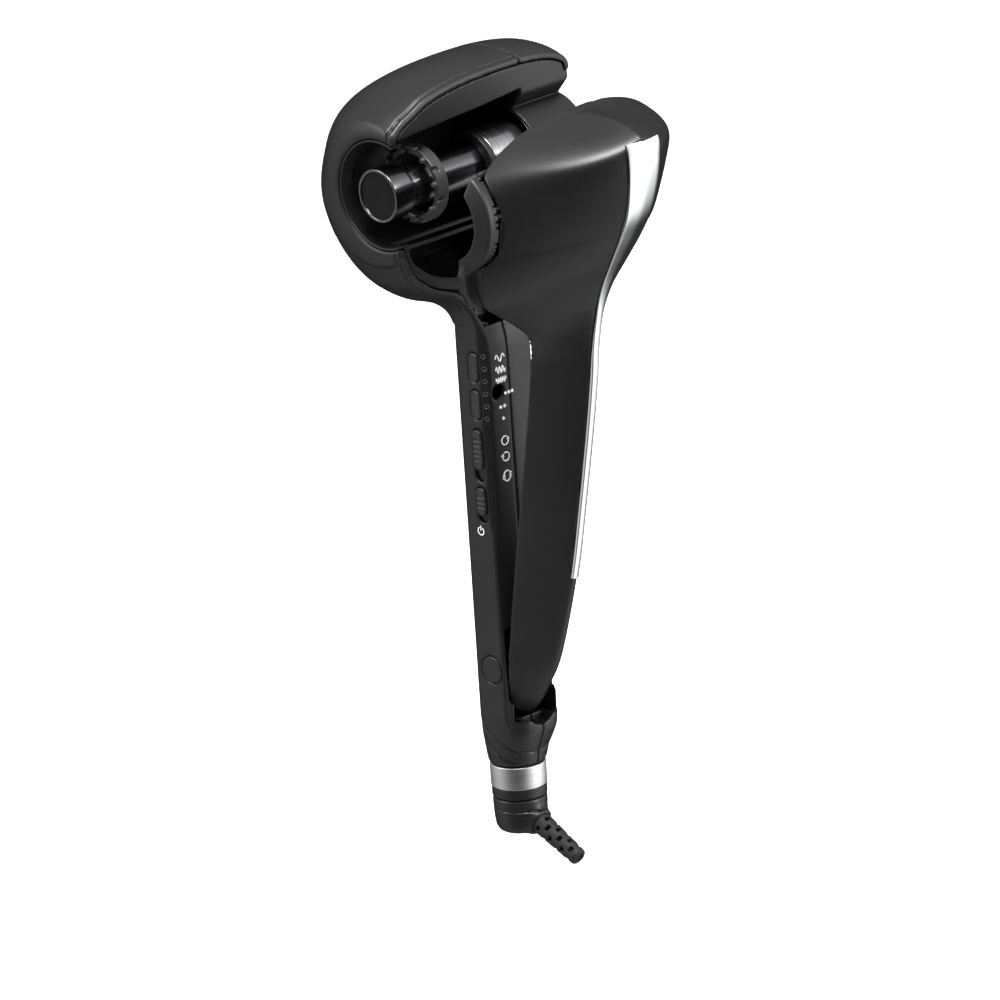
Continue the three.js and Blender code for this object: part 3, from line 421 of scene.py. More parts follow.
# ---- chamber ------------------------------------------------------------
def chamber_liner():
    """Lining of the winding chamber, with its flange, mouths and hub."""
    g = Grid((-28, -43.5, 184), (13, 45, 276), 0.45)
    head = head_field(g)
    fit = head + 2.7
    flange = np.maximum(fit, np.maximum(-6 - g.x, g.x - 3.6))
    around = ring_field(g.x, g.z, BX, BZ, 22.7)
    drum = np.maximum(np.maximum(around, -42.7 - g.y), g.y - 22)
    vee = (np.abs(g.z - BZ) - (8.8 + (g.x + 8.4) * 1.18)) * 0.65
    vee_wall = np.maximum(np.maximum(vee - 2.2, -9.6 - g.x), np.maximum(22 - g.y, g.y - 44.4))
    solid = np.minimum(np.minimum(flange, drum), vee_wall)
    solid = np.maximum(solid, g.x - 3.6)
    solid = np.maximum(solid, np.where(g.y < 42.2, fit, -1.0))
    bore = np.maximum(ring_field(g.x, g.z, BX, BZ, CHAMBER_R), g.y - 20)
    solid = smax(solid, -bore, 0.6)
    # upper mouth: a straight edge with a ceiling that slopes inwards
    ceiling = g.z - (257.4 + (g.y + 40) * 0.06) + (3.6 - g.x) * 0.3
    mouth = np.maximum(np.maximum(ceiling, 226 - g.z), np.maximum(-9.0 - g.x, g.y - 20))
    solid = smax(solid, -np.maximum(mouth, g.y - 47), 0.8)
    rear_mouth = np.maximum(np.maximum(vee, -8.2 - g.x), 20.5 - g.y)
    solid = smax(solid, -rear_mouth, 0.8)
    top_notch = np.maximum(np.abs(g.z - 257 - (g.y - 12) * 0.1) - 3.4, np.abs(g.y - 12) - 8)
    top_notch = np.maximum(top_notch, -6 - g.x)
    solid = smax(solid, -top_notch, 0.8)
    # lower jaw: a bar over a sunk pocket with a ledge
    pocket = np.maximum(np.maximum(fit + 4.6, g.z - 215.4), np.maximum(-7.8 - g.x, np.abs(g.y + 6) - 34))
    ledge = np.maximum(np.maximum(fit + 2.8, g.z - 215.4), np.maximum(1.8 - g.x, np.abs(g.y + 6) - 36))
    solid = smax(solid, -np.minimum(pocket, ledge), 0.7)
    # hub behind the chamber, with room for the rotor's gear
    r = ring_field(g.x, g.z, BX, BZ, 0)
    solid = np.maximum(solid, -np.maximum(r - 15.8, 18 - g.y))
    rim = smax(np.abs(r - 16.4) - 0.8, np.maximum(18.8 - g.y, g.y - 28), 0.6)
    skirt = np.maximum(np.abs(r - 16.4) - 0.8, np.maximum(np.maximum(27 - g.y, g.y - 44.6), -11.2 - g.x))
    web = np.maximum(r - 16, np.abs(g.y - 27.2) - 0.8)
    seat = np.maximum(r - 11.9, np.maximum(21.1 - g.y, g.y - 27))
    solid = np.minimum(solid, np.minimum(np.minimum(rim, skirt), np.minimum(web, seat)))
    window = np.maximum(ring_field(g.x, g.z, -30.7, 226.6, 14.9), np.abs(g.y - 24.2) - 1.9)
    solid = np.maximum(solid, -window)
    return mesh_of(solid, g)


pts, quads = chamber_liner()
piece("chamber_lining", pts, quads, INNER, "housing", "inner_black", ("chamber_liner",))


# ---- turned pieces ------------------------------------------------------
def filleted(profile, r, steps=4):
    """Closed outline with each corner rounded."""
    out = []
    n = len(profile)
    for i in range(n):
        p0, p1, p2 = (np.array(profile[(i + k - 1) % n], float) for k in range(3))
        a, b = p0 - p1, p2 - p1
        la, lb = np.linalg.norm(a), np.linalg.norm(b)
        q = min(r, la * 0.45, lb * 0.45)
        s0, s1 = p1 + a / la * q, p1 + b / lb * q
        for k in range(steps + 1):
            t = k / steps
            out.append((1 - t) ** 2 * s0 + 2 * t * (1 - t) * p1 + t ** 2 * s1)
    return out


def turned(profile, axis="y", centre=(BX, BZ), seg=96, start=0.0, sweep=360.0):
    """A closed (radius, height) outline swept round an axis; a part turn gets flat ends."""
    full = sweep >= 359.9
    count = seg if full else seg + 1
    pts, faces = [], []
    n = len(profile)
    for k in range(count):
        t = math.radians(start + sweep * k / seg)
        for r, h in profile:
            u, v = centre[0] + r * math.cos(t), centre[1] + r * math.sin(t)
            pts.append({"y": (u, h, v), "z": (u, v, h), "x": (h, u, v)}[axis])
    for k in range(seg):
        for i in range(n):
            j = (i + 1) % n
            a, b = k * n, ((k + 1) % count) * n
            faces.append((a + i, b + i, b + j, a + j))
    if not full:
        faces.append(tuple(range(n)))
        faces.append(tuple(range(seg * n + n - 1, seg * n - 1, -1)))
    pts = np.array(pts)
    a = [pts[list(f[:3])] for f in faces[: seg * n]]
    volume = sum(np.dot(q[0], np.cross(q[1], q[2])) for q in a)
    if volume < 0:
        faces = [tuple(reversed(f)) for f in faces]
    return pts, faces


def disc(r, lo, hi, edge, **k):
    return turned(filleted([(0.02, lo), (r, lo), (r, hi), (0.02, hi)], edge), **k)


piece("barrel_outer", *turned(filleted([(7, -37.9), (8.3, -37.9), (8.3, 20.6), (7, 20.6)], 0.3)), BARREL,
      "housing", "barrel", ("barrel_tube",))
TIP_OUTLINE = [(6.4, -35.4), (6.4, -46.15), (8.9, -46.15), (8.9, -46.9), (10.06, -46.9), (10.06, -38),
               (8.4, -38), (8.4, -35.4)]
piece("barrel_tip", *turned(filleted(TIP_OUTLINE, 0.35)), BARREL, "housing", "barrel", ("barrel_end_cap",))
piece("barrel_tip_face", *disc(8.85, -46.35, -45.4, 0.25), FACE, "housing", "barrel")
STEP_OUTLINE = [(8.7, -0.6), (12.4, -0.6), (12.4, 1.3), (12.05, 1.5), (12.05, 2.2), (8.7, 2.2)]
piece("barrel_step", *turned(filleted(STEP_OUTLINE, 0.3)), TRIM, "housing", "barrel")
piece("barrel_sleeve_skin", *turned(filleted([(8.7, 2.3), (12, 2.3), (12, 19.6), (8.7, 19.6)], 0.3)), SLEEVE,
      "housing", "sleeve_chrome", ("barrel_sleeve",))
piece("outlet_edge", *turned(filleted([(19.9, -46), (20.65, -46), (20.65, -40.5), (19.9, -40.5)], 0.25),
                             start=68, sweep=224), TRIM, "housing", "trim_black", ("outlet_ring",))
REAR_OUTLINE = [(0.02, 42.4), (0.02, 45.3), (8.2, 45.3), (8.6, 45.8), (10.2, 45.8), (11, 45.2), (11, 42.4)]
piece("rear_disc", *turned(filleted(REAR_OUTLINE, 0.3), centre=(COVER_X, BZ)), TRIM, "housing", "trim_black",
      ("rear_cover",))
HUB_OUTLINE = [(0.02, 43), (0.02, 45.2), (10, 45.2), (10.4, 45.6), (14.8, 45.6), (15.4, 45), (15.4, 43)]
piece("hub_plug", *turned(filleted(HUB_OUTLINE, 0.3), start=-116, sweep=232), TRIM, "housing", "trim_black",
      ("hub_cover",))
PIN_OUTLINE = [(0.02, -11.8), (0.02, -12.55), (4.7, -12.65), (5.2, -12.3), (5.2, -11.8)]
piece("pin_cover", *turned(filleted(PIN_OUTLINE, 0.25), centre=(PIVOT[0], PIVOT[2])), SOFT, "housing",
      "base_black", ("hinge_pin_cap",))
piece("collar_band", *turned(filleted([(8.8, -2.5), (10.5, -2.5), (10.5, 6.3), (8.8, 6.3)], 0.35), axis="z",
                             centre=(0, 0), seg=128), STEEL, "housing", "collar_steel", ("collar_ring",))
BLACK_OUTLINE = [(4, -6.4), (10.3, -6.4), (10.3, -2.75), (4, -2.75)]
piece("collar_band_black", *turned(filleted(BLACK_OUTLINE, 0.4), axis="z", centre=(0, 0)), TRIM, "housing",
      "trim_black", ("swivel_collar",))


# ---- rotor ring ---------------------------------------------------------
def rotor_ring():
    """Ring with pegs and notches, the arm behind it and the hook."""
    g = Grid((-24, -32.2, 217), (15, 22.5, 256), 0.33)
    r = np.sqrt((g.x - BX) ** 2 + (g.z - BZ) ** 2)
    band = smax(np.maximum(11.3 - r, r - 14.5), np.abs(g.y + 27) - 2.5, 0.9)
    lip = np.maximum(np.abs(r - 14.1) - 0.45, np.abs(g.y + 29.4) - 0.55)
    body = np.minimum(band, lip)
    for k in range(8):
        t = math.radians(k * 45 + 10)
        cx, cz = BX + 12.9 * math.cos(t), BZ + 12.9 * math.sin(t)
        peg = smax(np.sqrt((g.x - cx) ** 2 + (g.z - cz) ** 2) - 1.15, np.abs(g.y + 30) - 1.35, 0.4)
        body = np.minimum(body, peg)
        t = math.radians(k * 45 + 32)
        cx, cz = BX + 14.5 * math.cos(t), BZ + 14.5 * math.sin(t)
        notch = np.maximum(np.sqrt((g.x - cx) ** 2 + (g.z - cz) ** 2) - 1.0, g.y + 27.6)
        body = smax(body, -notch, 0.3)
    ang = np.degrees(np.arctan2(g.z - BZ, g.x - BX))
    arc = np.abs((ang + 138 + 180) % 360 - 180) - 11
    arm = np.maximum(np.maximum(12.85 - r, r - 15.1), np.radians(arc) * 14.5)
    arm = smax(arm, np.abs(g.y + 3.6) - 25.9, 0.6)
    hook_arc = np.abs((ang - 135 + 180) % 360 - 180) - (10 - (r - 14) * 1.4)
    hook = np.maximum(np.maximum(13.6 - r, r - 18.4), np.radians(hook_arc) * 16)
    hook = smax(hook, np.abs(g.y + 28.6) - 3.4, 0.8)
    return mesh_of(np.minimum(np.minimum(body, arm), hook), g)


piece("rotor_hook_ring", *rotor_ring(), ROTOR, "rotor", "rotor_grey", ("rotor_ring",))


# ---- keys, sliders, lights and print ------------------------------------
def key(cx, cz, w, l, front, grooves=()):
    """A key's dished cap, with any grooves across it, and its stem."""
    g = Grid((cx - w / 2, -front - 0.1, cz - l / 2 - 1), (cx + w / 2, -8.8, cz + l / 2 + 1), 0.16)
    top = smax(oblong_field(g, cx, cz, w, l), -front - g.y, 0.7)
    cap = np.maximum(top, g.y + 10.4)
    for z in grooves:
        cut = np.maximum(np.abs(g.z - z) - 0.45, g.y + front - 0.45)
        cap = smax(cap, -cut, 0.3)
    dish = np.sqrt((g.x - cx) ** 2 + (g.y + front + 8.6) ** 2) - 8.75
    cap = smax(cap, -dish, 0.4)
    stem = box_field(g, (cx - 1.5, -10.6, cz - l / 2 + 2), (cx + 1.5, -8.95, cz + l / 2 - 2), 0.2)
    return mesh_of(np.minimum(cap, stem), g)


for name, spot, body_name, node in (("timer_key_cap", BUTTONS[0], "timer_key", "timer_button"),
                                    ("heat_key_cap", BUTTONS[1], "heat_key", "heat_button")):
    cx, cz, w, l = spot
    piece(name, *key(cx, cz, w - 0.5, l - 0.5, 13.0), KEYS, body_name, "button_black", (node,))
for name, spot, length, body_name, node in (("turn_knob", SLOTS[0], 15.4, "turn_switch", "turn_slider"),
                                            ("power_knob", SLOTS[1], 10.8, "power_switch", "power_slider")):
    cx, cz, w, l = spot
    mid = cz + l / 2 - 0.25 - length / 2
    half = 2 if length > 12 else 1
    grooves = [mid + 1.9 * k for k in range(-half, half + 1)]
    piece(name, *key(cx, mid, w - 0.6, length, 13.5, grooves), KEYS, body_name, "button_black", (node,))


def slot_floor(cx, cz, w, l):
    g = Grid((cx - w / 2, -11.3, cz - l / 2), (cx + w / 2, -10.1, cz + l / 2), 0.25)
    return mesh_of(smax(oblong_field(g, cx, cz, w - 0.1, l - 0.1), np.abs(g.y + 10.85) - 0.3, 0.2), g)


for k, spot in enumerate(SLOTS):
    piece(f"slot_floor_{k + 1}", *slot_floor(*spot), INNER, "housing", "trim_black")


def light_posts():
    """Ringed posts standing on the handle's bevel."""
    pts, faces = [], []
    for z in LED_Z:
        for prof in (filleted([(0.62, -0.4), (0.62, 0.02), (0.72, 0.1), (0.95, 0.1), (1.0, -0.4)], 0.06, 2),
                     filleted([(0.01, -0.4), (0.01, -0.02), (0.6, -0.02), (0.6, -0.4)], 0.08, 2)):
            p, f = turned(prof, axis="z", centre=(0, 0), seg=28)
            # local z points out of the bevel, local x runs along the handle
            across = (p[:, 2] + p[:, 1]) * 0.7071
            outward = (p[:, 2] - p[:, 1]) * 0.7071
            q = np.stack([7.55 + across, -11.05 - outward, z + p[:, 0]], 1)
            faces += [tuple(i + len(pts) for i in face) for face in f]
            pts += q.tolist()
    return pts, faces


piece("status_lights", *light_posts(), LED, "housing", "light_guide", ("light_guide",))


def ribbon(path, width, closed=False):
    """A flat printed line in the inner face's plane, from (y, z) points."""
    path = np.array(path, float)
    n = len(path)
    pts, faces = [], []
    for i in range(n):
        a = path[(i - 1) % n] if closed or i else path[i]
        b = path[(i + 1) % n] if closed or i + 1 < n else path[i]
        d = (b - a) / max(np.linalg.norm(b - a), 1e-9)
        side = np.array([-d[1], d[0]]) * width / 2
        pts += [path[i] + side, path[i] - side]
    for i in range(n if closed else n - 1):
        j = (i + 1) % n
        faces.append((2 * i, 2 * j, 2 * j + 1, 2 * i + 1))
    return pts, faces


def arc(cy, cz, r, a0, a1, n=18):
    turns = [math.radians(a0 + (a1 - a0) * k / n) for k in range(n + 1)]
    return [(cy + r * math.cos(t), cz + r * math.sin(t)) for t in turns]


def print_marks():
    """Waves, dots and turning arrows on the inner face."""
    marks = []
    y0 = -4.2
    for z, waves, w, tall in ((165.7, 1.5, 4.6, 1.25), (161.2, 3, 4.6, 1.25), (157.2, 4.5, 5.0, 0.95)):
        path = [(y0 - w / 2 + w * t / 40, z + tall * math.sin(2 * math.pi * waves * t / 40))
                for t in range(41)]
        marks.append(ribbon(path, 0.42))
    for z, dots in ((151.7, (1.8, 3.5, 5.2)), (147.0, (-1.0, 1.0)), (142.4, (0,))):
        for d in dots:
            marks.append(ribbon(arc(y0 + d, z, 0.32, 0, 342, 11), 0.6, True))
    for z, a0, a1, tips in ((133.9, 60, 370, (1,)), (127.7, -190, 120, (0,)), (120.6, 20, 180, (0, 1)),
                            (120.0, 200, 360, (0, 1))):
        path = arc(y0, z, 1.65, a0, a1)
        marks.append(ribbon(path, 0.42))
        for end in tips:
            a = math.radians(a1 if end else a0)
            s = 1 if end else -1
            p = np.array([y0 + 1.65 * math.cos(a), z + 1.65 * math.sin(a)])
            t = np.array([-math.sin(a), math.cos(a)]) * s
            q = np.array([t[1], -t[0]])
            marks.append(([p + q * 0.75, p - q * 0.75, p + t * 1.1], [(0, 1, 2)]))
    return raised(marks, lambda u, v, out: (9.0 + out, u, v))


def raised(marks, place):
    """Flat outlines turned into thin printed layers on a face."""
    pts, faces = [], []
    for p, f in marks:
        base = len(pts)
        p3 = [place(q[0], q[1], 0.03) for q in p] + [place(q[0], q[1], -0.2) for q in p]
        n = len(p)
        edges = {}
        for face in f:
            faces.append(tuple(base + i for i in face))
            faces.append(tuple(base + n + i for i in reversed(face)))
            for i, j in zip(face, face[1:] + face[:1]):
                edges[(i, j)] = edges.get((i, j), 0) + 1
        for (i, j) in edges:
            if (j, i) not in edges:
                faces.append((base + j, base + i, base + n + i, base + n + j))
        pts += p3
    return pts, faces


piece("printed_marks", *print_marks(), PRINT, "housing", "light_guide", smooth=False)
power_sign = [ribbon(arc(1.7, 99.7, 1.5, 120, 420, 31), 0.4), ribbon([(1.7, 99.9), (1.7, 101.9)], 0.4)]
piece("power_mark", *raised(power_sign, lambda u, v, out: (u, -12.5 - out, v)), PRINT, "housing",
      "light_guide", smooth=False)


# ---- lid ----------------------------------------------------------------
RIBS = np.array([
    [11.5, 27.8, -4, 28.6, 4, 28.6], [15.5, 33, -8, 32.2, 8, 32.2],
    [19.4, 42, -10.5, 41, 10.5, 41], [24.6, 57, -12, 57, 12, 57],
    [28.9, 91, -12.5, 91, 12.5, 91], [30, 122, -12.5, 122, 12.5, 122],
    [30.5, 152, -12.5, 152, 12.5, 152], [30.3, 172, -12.9, 170, 12.9, 170],
    [29.6, 184, -14.4, 180, 13.8, 180], [29.8, 196, -18.6, 187.6, 16.4, 188],
    [31, 205, -26, 194, 19.6, 193.6], [33.7, 214, -34.5, 200, 24, 199.4],
    [37.8, 224, -42, 206, 31, 207.4], [42.1, 234.5, -45.6, 216, 38, 216],
    [45.4, 244, -46.4, 231, 42.6, 225.6], [46.6, 254, -46.4, 246, 44.2, 241],
    [46.2, 264.5, -43, 253.5, 44, 254.3], [44, 272.6, -36, 260, 40.2, 262],
    [37, 274.9, -24.5, 266.2, 32, 266.8], [27, 275.1, -13.5, 268.8, 21, 269.8],
    [14.5, 273, -3, 270.2, 11, 270.6],
])
# inner edge plane against height, and the section's two powers against the ridge's height
EDGE_X = ([174, 190, 222, 250, 260], [9.6, 12.5, 12.5, 7, 4.8])
POWER_A = ([185, 203, 240, 262, 275], [1.42, 1.18, 1.14, 1.5, 1.8])
POWER_B = ([185, 203, 240, 262, 275], [0.95, 1, 1, 0.8, 0.6])


def splined(rows, per):
    """Catmull-Rom through the rows, with the given number of steps to each gap."""
    rows = np.asarray(rows, float)
    ext = np.vstack([2 * rows[0] - rows[1], rows, 2 * rows[-1] - rows[-2]])
    out = []
    for i in range(1, len(ext) - 2):
        for k in range(per):
            t = k / per
            p0, p1, p2, p3 = ext[i - 1:i + 3]
            out.append(0.5 * (2 * p1 + (p2 - p0) * t + (2 * p0 - 5 * p1 + 4 * p2 - p3) * t * t
                              + (3 * p1 - p0 - 3 * p2 + p3) * t ** 3))
    out.append(rows[-1])
    return np.array(out)


def lid_hull(inset, half=36, per=7):
    """Closed mesh of the lid's outside, drawn in by the inset."""
    rows = splined(RIBS, per)
    up = inset * np.clip((rows[:, [1, 3, 5]] - 238) / 26, np.where(rows[:, [1]] < 190, 0, -1), 1)
    foot = np.where(rows[:, [1]] < 40, inset, 0)
    z = rows[:, [1, 3, 5]] - up + foot
    rx = rows[:, [0]] - inset
    k = np.arange(-half, half + 1)
    lean = np.sin(np.pi / 2 * np.abs(k) / half)[None, :]
    front = (k < 0)[None, :]
    ey = np.where(front, rows[:, [2]] + inset, rows[:, [4]] - inset)
    ez = np.where(front, z[:, [1]], z[:, [2]])
    x0 = np.interp(np.where(front, rows[:, [3]], rows[:, [5]]), *EDGE_X) - (1.0 if inset > 0 else 0)
    a, b = np.interp(rows[:, [1]], *POWER_A), np.interp(rows[:, [1]], *POWER_B)
    # the crest is softened a little where the two sides meet
    soft = np.sqrt(lean ** 2 + 0.0016) - 0.04
    rise = np.maximum(0, 1 - (soft / (math.sqrt(1.0016) - 0.04)) ** a) ** b
    pts = np.stack([x0 + (rx - x0) * rise, ey * lean, z[:, [0]] + (ez - z[:, [0]]) * lean], 2)
    m, n = pts.shape[:2]
    faces = grid_faces(m, n)
    flat = pts.reshape(-1, 3)
    # fans close both ends
    tris = []
    for i, flip in ((0, True), (m - 1, False)):
        mid = len(flat)
        flat = np.vstack([flat, pts[i].mean(0)])
        for a in range(n):
            f = (i * n + a, i * n + (a + 1) % n, mid)
            tris.append(f[::-1] if flip else f)
    quads = np.array(faces)
    tri = np.concatenate([quads[:, [0, 1, 2]], quads[:, [0, 2, 3]], np.array(tris)])
    return flat, tri


STRIP_HALF = ([88, 92, 196, 214, 228, 244, 256, 272], [1.6, 1.6, 1.7, 3, 4.6, 6, 7, 8])


def strip_mesh(above, below, extra, per=8, cross=8):
    """Strip along the lid's ridge, from above to below its surface, wider and longer by the extra."""
    rows = splined(RIBS, per)[4 * per:17 * per + 1]
    half_at = curve_table(*STRIP_HALF)
    tangent = np.gradient(rows[:, :2], axis=0)
    tangent /= np.linalg.norm(tangent, axis=1)[:, None]
    nx, nz = tangent[:, 1], -tangent[:, 0]
    half = half_at(rows[:, 1]) + extra
    f = np.linspace(-1, 1, 2 * cross + 1)
    y = half[:, None] * f[None, :]
    drop = (rows[:, [0]] - 12) * 0.35 * (np.abs(y) / np.abs(rows[:, [4]])) ** 1.5
    edge = 1 - 0.35 * np.clip((np.abs(y) - half[:, None] + 0.45) / 0.45, 0, 1) ** 2
    loops = []
    for d, flip in ((above, False), (-below, True)):
        dd = d * edge if d > 0 else d * np.ones_like(y)
        q = np.stack([rows[:, [0]] - drop + nx[:, None] * dd, y, rows[:, [1]] + nz[:, None] * dd], 2)
        loops.append(q[:, ::-1] if flip else q)
    pts = np.concatenate(loops, 1)
    pts[0] -= np.array([tangent[0, 0], 0, tangent[0, 1]]) * extra
    pts[-1] += np.array([tangent[-1, 0], 0, tangent[-1, 1]]) * extra
    m, n = pts.shape[:2]
    faces = grid_faces(m, n)
    flat = pts.reshape(-1, 3)
    tri = []
    w = 2 * cross + 1
    for i, flip in ((0, True), (m - 1, False)):
        for a in range(w - 1):
            f = (i * n + a, i * n + a + 1, i * n + n - 2 - a, i * n + n - 1 - a)
            tri.append(f[::-1] if flip else f)
    return flat, faces + tri


def lid_skin():
    """The lid's outer shell, with the groove for the strip."""
    g = Grid((3, -47.5, 26), (49, 47, 277), 0.5)
    outer = field_of(*lid_hull(0), g, 4.0)
    inner = field_of(*lid_hull(1.9), g, 4.0)
    skin = smax(outer, -inner, 0.5)
    r = ring_field(g.x, g.z, BX, BZ, 0)
    skin = smax(skin, -np.maximum(r - 21.6, g.y + 40), 0.7)
    skin = smax(skin, -np.maximum(r - 17.7, 18 - g.y), 0.7)
    p, f = strip_mesh(3.0, 0.95, 0.16)
    groove = field_of(p, np.array(f), g, 3.0)
    return mesh_of(smax(skin, -groove, 0.35), g)


piece("lid_skin", *lid_skin(), SOFT_LID, "lid", "lid_black", ("lid_shell",), lid=True)
piece("lid_chrome", *strip_mesh(0.45, 0.75, 0), CHROME, "lid", "strip_chrome", ("chrome_strip",), lid=True,
      angle=50)


def head_outline(inset):
    """The lid's outline round its head, as (y, z) points."""
    rows = splined(RIBS[9:21], 6)
    up = inset * np.clip((rows[:, [3, 5]] - 238) / 26, -1, 1)
    a = np.stack([rows[:, 2] + inset, rows[:, 3] - up[:, 0]], 1)
    b = np.stack([rows[:, 4] - inset, rows[:, 5] - up[:, 1]], 1)
    return np.vstack([a, b[::-1]])


def slab(outline, x0, x1):
    """A (y, z) outline made solid from x0 to x1."""
    n = len(outline)
    pts = np.vstack([np.column_stack([np.full(n, x), outline]) for x in (x0, x1)])
    mid = outline.mean(0)
    pts = np.vstack([pts, [x0, *mid], [x1, *mid]])
    tri = []
    for i in range(n):
        j = (i + 1) % n
        tri += [(i, j, n + j), (i, n + j, n + i), (j, i, 2 * n), (n + i, n + j, 2 * n + 1)]
    return pts, np.array(tri)


def lid_lining():
    """The lid's half of the chamber."""
    g = Grid((4, -50, 187), (23, 46, 274), 0.45)
    plate = smax(field_of(*slab(head_outline(1.1), -10, 30), g, 4.0), np.maximum(4.3 - g.x, g.x - 12.0), 0.9)
    hull = field_of(*lid_hull(2.3), g, 8.0)
    edge = g.x - np.interp(g.z[0, 0], *EDGE_X).astype(np.float32)[None, None, :] + 0.3
    inside = np.minimum(hull, edge)
    plate = np.maximum(plate, inside)
    room = field_of(*slab(head_outline(3.4), -10, 30), g, 8.0)
    plate = np.maximum(plate, -np.maximum(room, 6.6 - g.x))
    r = ring_field(g.x, g.z, BX, BZ, 0)
    drum = np.maximum(np.maximum(r - 22.6, np.maximum(-43.2 - g.y, g.y - 22)), inside)
    skirt = np.maximum(np.maximum(r - 19.1, np.maximum(21 - g.y, g.y - 43.6)), inside)
    # front collar: a cone round the outlet with a horn below it
    cone = (-49.6 + (r - 15.2) * 0.5 - g.y) * 0.89
    collar = smax(np.maximum(r - 21.2, g.y + 42), cone, 0.8)
    horn = [[-38, 201], [-38, 222], [-48.6, 222], [-49.4, 217.5], [-47.6, 210.5], [-43.8, 204.8]]
    horn = field_of(*slab(np.array(horn), -10, 7.4), g, 6.0)
    solid = np.minimum(np.minimum(np.minimum(plate, drum), skirt), smin(collar, horn, 1.2))
    solid = smax(solid, 4.3 - g.x, 0.5)
    solid = smax(solid, -np.maximum(r - 15.2, g.y + 43), 0.7)
    solid = smax(solid, -np.maximum(np.maximum(r - CHAMBER_R, g.y - 20), -43.6 - g.y), 0.6)
    solid = smax(solid, -np.maximum(r - 17.7, 18.4 - g.y), 0.5)
    sunk = np.maximum(room + 1.2, g.x - 5.3)
    return mesh_of(smax(solid, -sunk, 0.6), g)


piece("lid_lining", *lid_lining(), INNER_LID, "lid", "lid_inner", ("lid_liner",), lid=True)


def lid_inner_panel():
    """Cover over the lid's inside, with the two hinge lugs."""
    g = Grid((-3, -10.4, 38), (11.3, 10.4, 172), 0.42)
    w = np.interp(g.z[0, 0], [40, 57, 91, 171], [5.6, 7.9, 8.9, 8.9]).astype(np.float32)[None, None, :]
    outline = np.maximum(np.abs(g.y) - w, np.abs(g.z - 105.5) - 65.5)
    plate = smax(outline, np.maximum(9.6 - g.x, g.x - 11.1), 0.6)
    sunk = np.maximum(np.abs(g.y) - w + 2.4, np.abs(g.z - 112) - 54)
    plate = smax(plate, -np.maximum(sunk, g.x - 10.0), 0.5)
    lug_y = np.abs(np.abs(g.y) - 6.0) - 1.3
    eye = np.sqrt((g.x - PIVOT[0]) ** 2 + (g.z - PIVOT[2]) ** 2) - 4.8
    web = np.maximum(np.maximum(np.abs(g.z - 47) - 6.2, g.x - 10.4), PIVOT[0] - g.x)
    lugs = np.maximum(smin(eye, web, 2.0), lug_y)
    solid = np.minimum(plate, lugs)
    solid = np.maximum(solid, -(np.sqrt((g.x - PIVOT[0]) ** 2 + (g.z - PIVOT[2]) ** 2) - 1.87))
    for z in (74, 158):
        solid = np.maximum(solid, -(np.sqrt(g.y ** 2 + (g.z - z) ** 2) - 2.6))
    solid = np.maximum(solid, -(np.sqrt((g.y - SWITCH_Y) ** 2 + (g.z - SWITCH_Z) ** 2) - 2.7))
    return mesh_of(solid, g)


piece("lid_inner_panel", *lid_inner_panel(), INNER_LID, "lid", "lid_inner", ("lid_cover",), lid=True)


# ---- cord exit ----------------------------------------------------------
PITCH = math.radians(27)   # the relief's slope down
RX, RZ = 6.4, -14.4        # the relief's foot


def relief_axes(g):
    """Distance along the relief and upwards across it."""
    u = (g.x - RX) * math.cos(PITCH) - (g.z - RZ) * math.sin(PITCH)
    v = (g.x - RX) * math.sin(PITCH) + (g.z - RZ) * math.cos(PITCH)
    return u, v


def elbow():
    """The foot that swivels, with the boss that holds the relief."""
    g = Grid((-10.4, -10.4, -20.8), (12.5, 10.4, 9), 0.36)
    r = np.sqrt(g.x ** 2 + g.y ** 2)
    reach = curve_table([-20.6, -19, -17.6, -12, -6.8], [8.2, 9.0, 9.5, 10.05, 10.2])(g.z)
    cup = smax(r - reach, np.maximum(-20.4 - g.z, g.z + 6.75), 1.6)
    cup = np.maximum(cup, g.z + 6.75)
    u, v = relief_axes(g)
    boss = smax(np.sqrt(g.y ** 2 + v ** 2) - 5.3, np.maximum(-u - 4, u - 4.6), 1.2)
    cup = smin(cup, np.maximum(boss, g.z + 7.5), 2.2)
    cup = np.maximum(cup, -np.maximum(np.sqrt(g.y ** 2 + v ** 2) - 4.35, -u - 0.5))
    line = np.maximum(np.abs(g.z + 11.2) - 0.3, -(cup + 0.45))
    cup = np.maximum(cup, -line)
    stem = np.maximum(r - 3.93, np.maximum(-8 - g.z, g.z - 9))
    return mesh_of(np.minimum(cup, stem), g)


piece("exit_elbow", *elbow(), TRIM, "cord_exit", "trim_black", ("swivel_elbow",))


def relief():
    """Tapered and bored relief with staggered slots."""
    g = Grid((3, -4.6, -31), (33, 4.6, -9), 0.24)
    u, v = relief_axes(g)
    r = np.sqrt(g.y ** 2 + v ** 2)
    reach = np.interp(u, [0, 5, 25, 30], [4.25, 4.15, 3.35, 3.1]).astype(np.float32)
    body = smax(r - reach, np.maximum(-u, u - 26.0), 1.2)
    ang = np.arctan2(g.y, v)
    for k in range(6):
        at = 6.6 + 3.2 * k
        lobe = np.abs(np.sin(ang * 2 + (k % 2) * np.pi / 2)) - 0.62
        cut = np.maximum(np.abs(u - at) - 0.75, np.maximum(1.9 - r, lobe * 2.2))
        body = smax(body, -cut, 0.4)
    hole = np.maximum(r - 1.7, 4 - u)
    return mesh_of(np.maximum(body, -hole), g)


piece("exit_relief", *relief(), RUBBER, "cord_exit", "relief_rubber", ("strain_relief",))


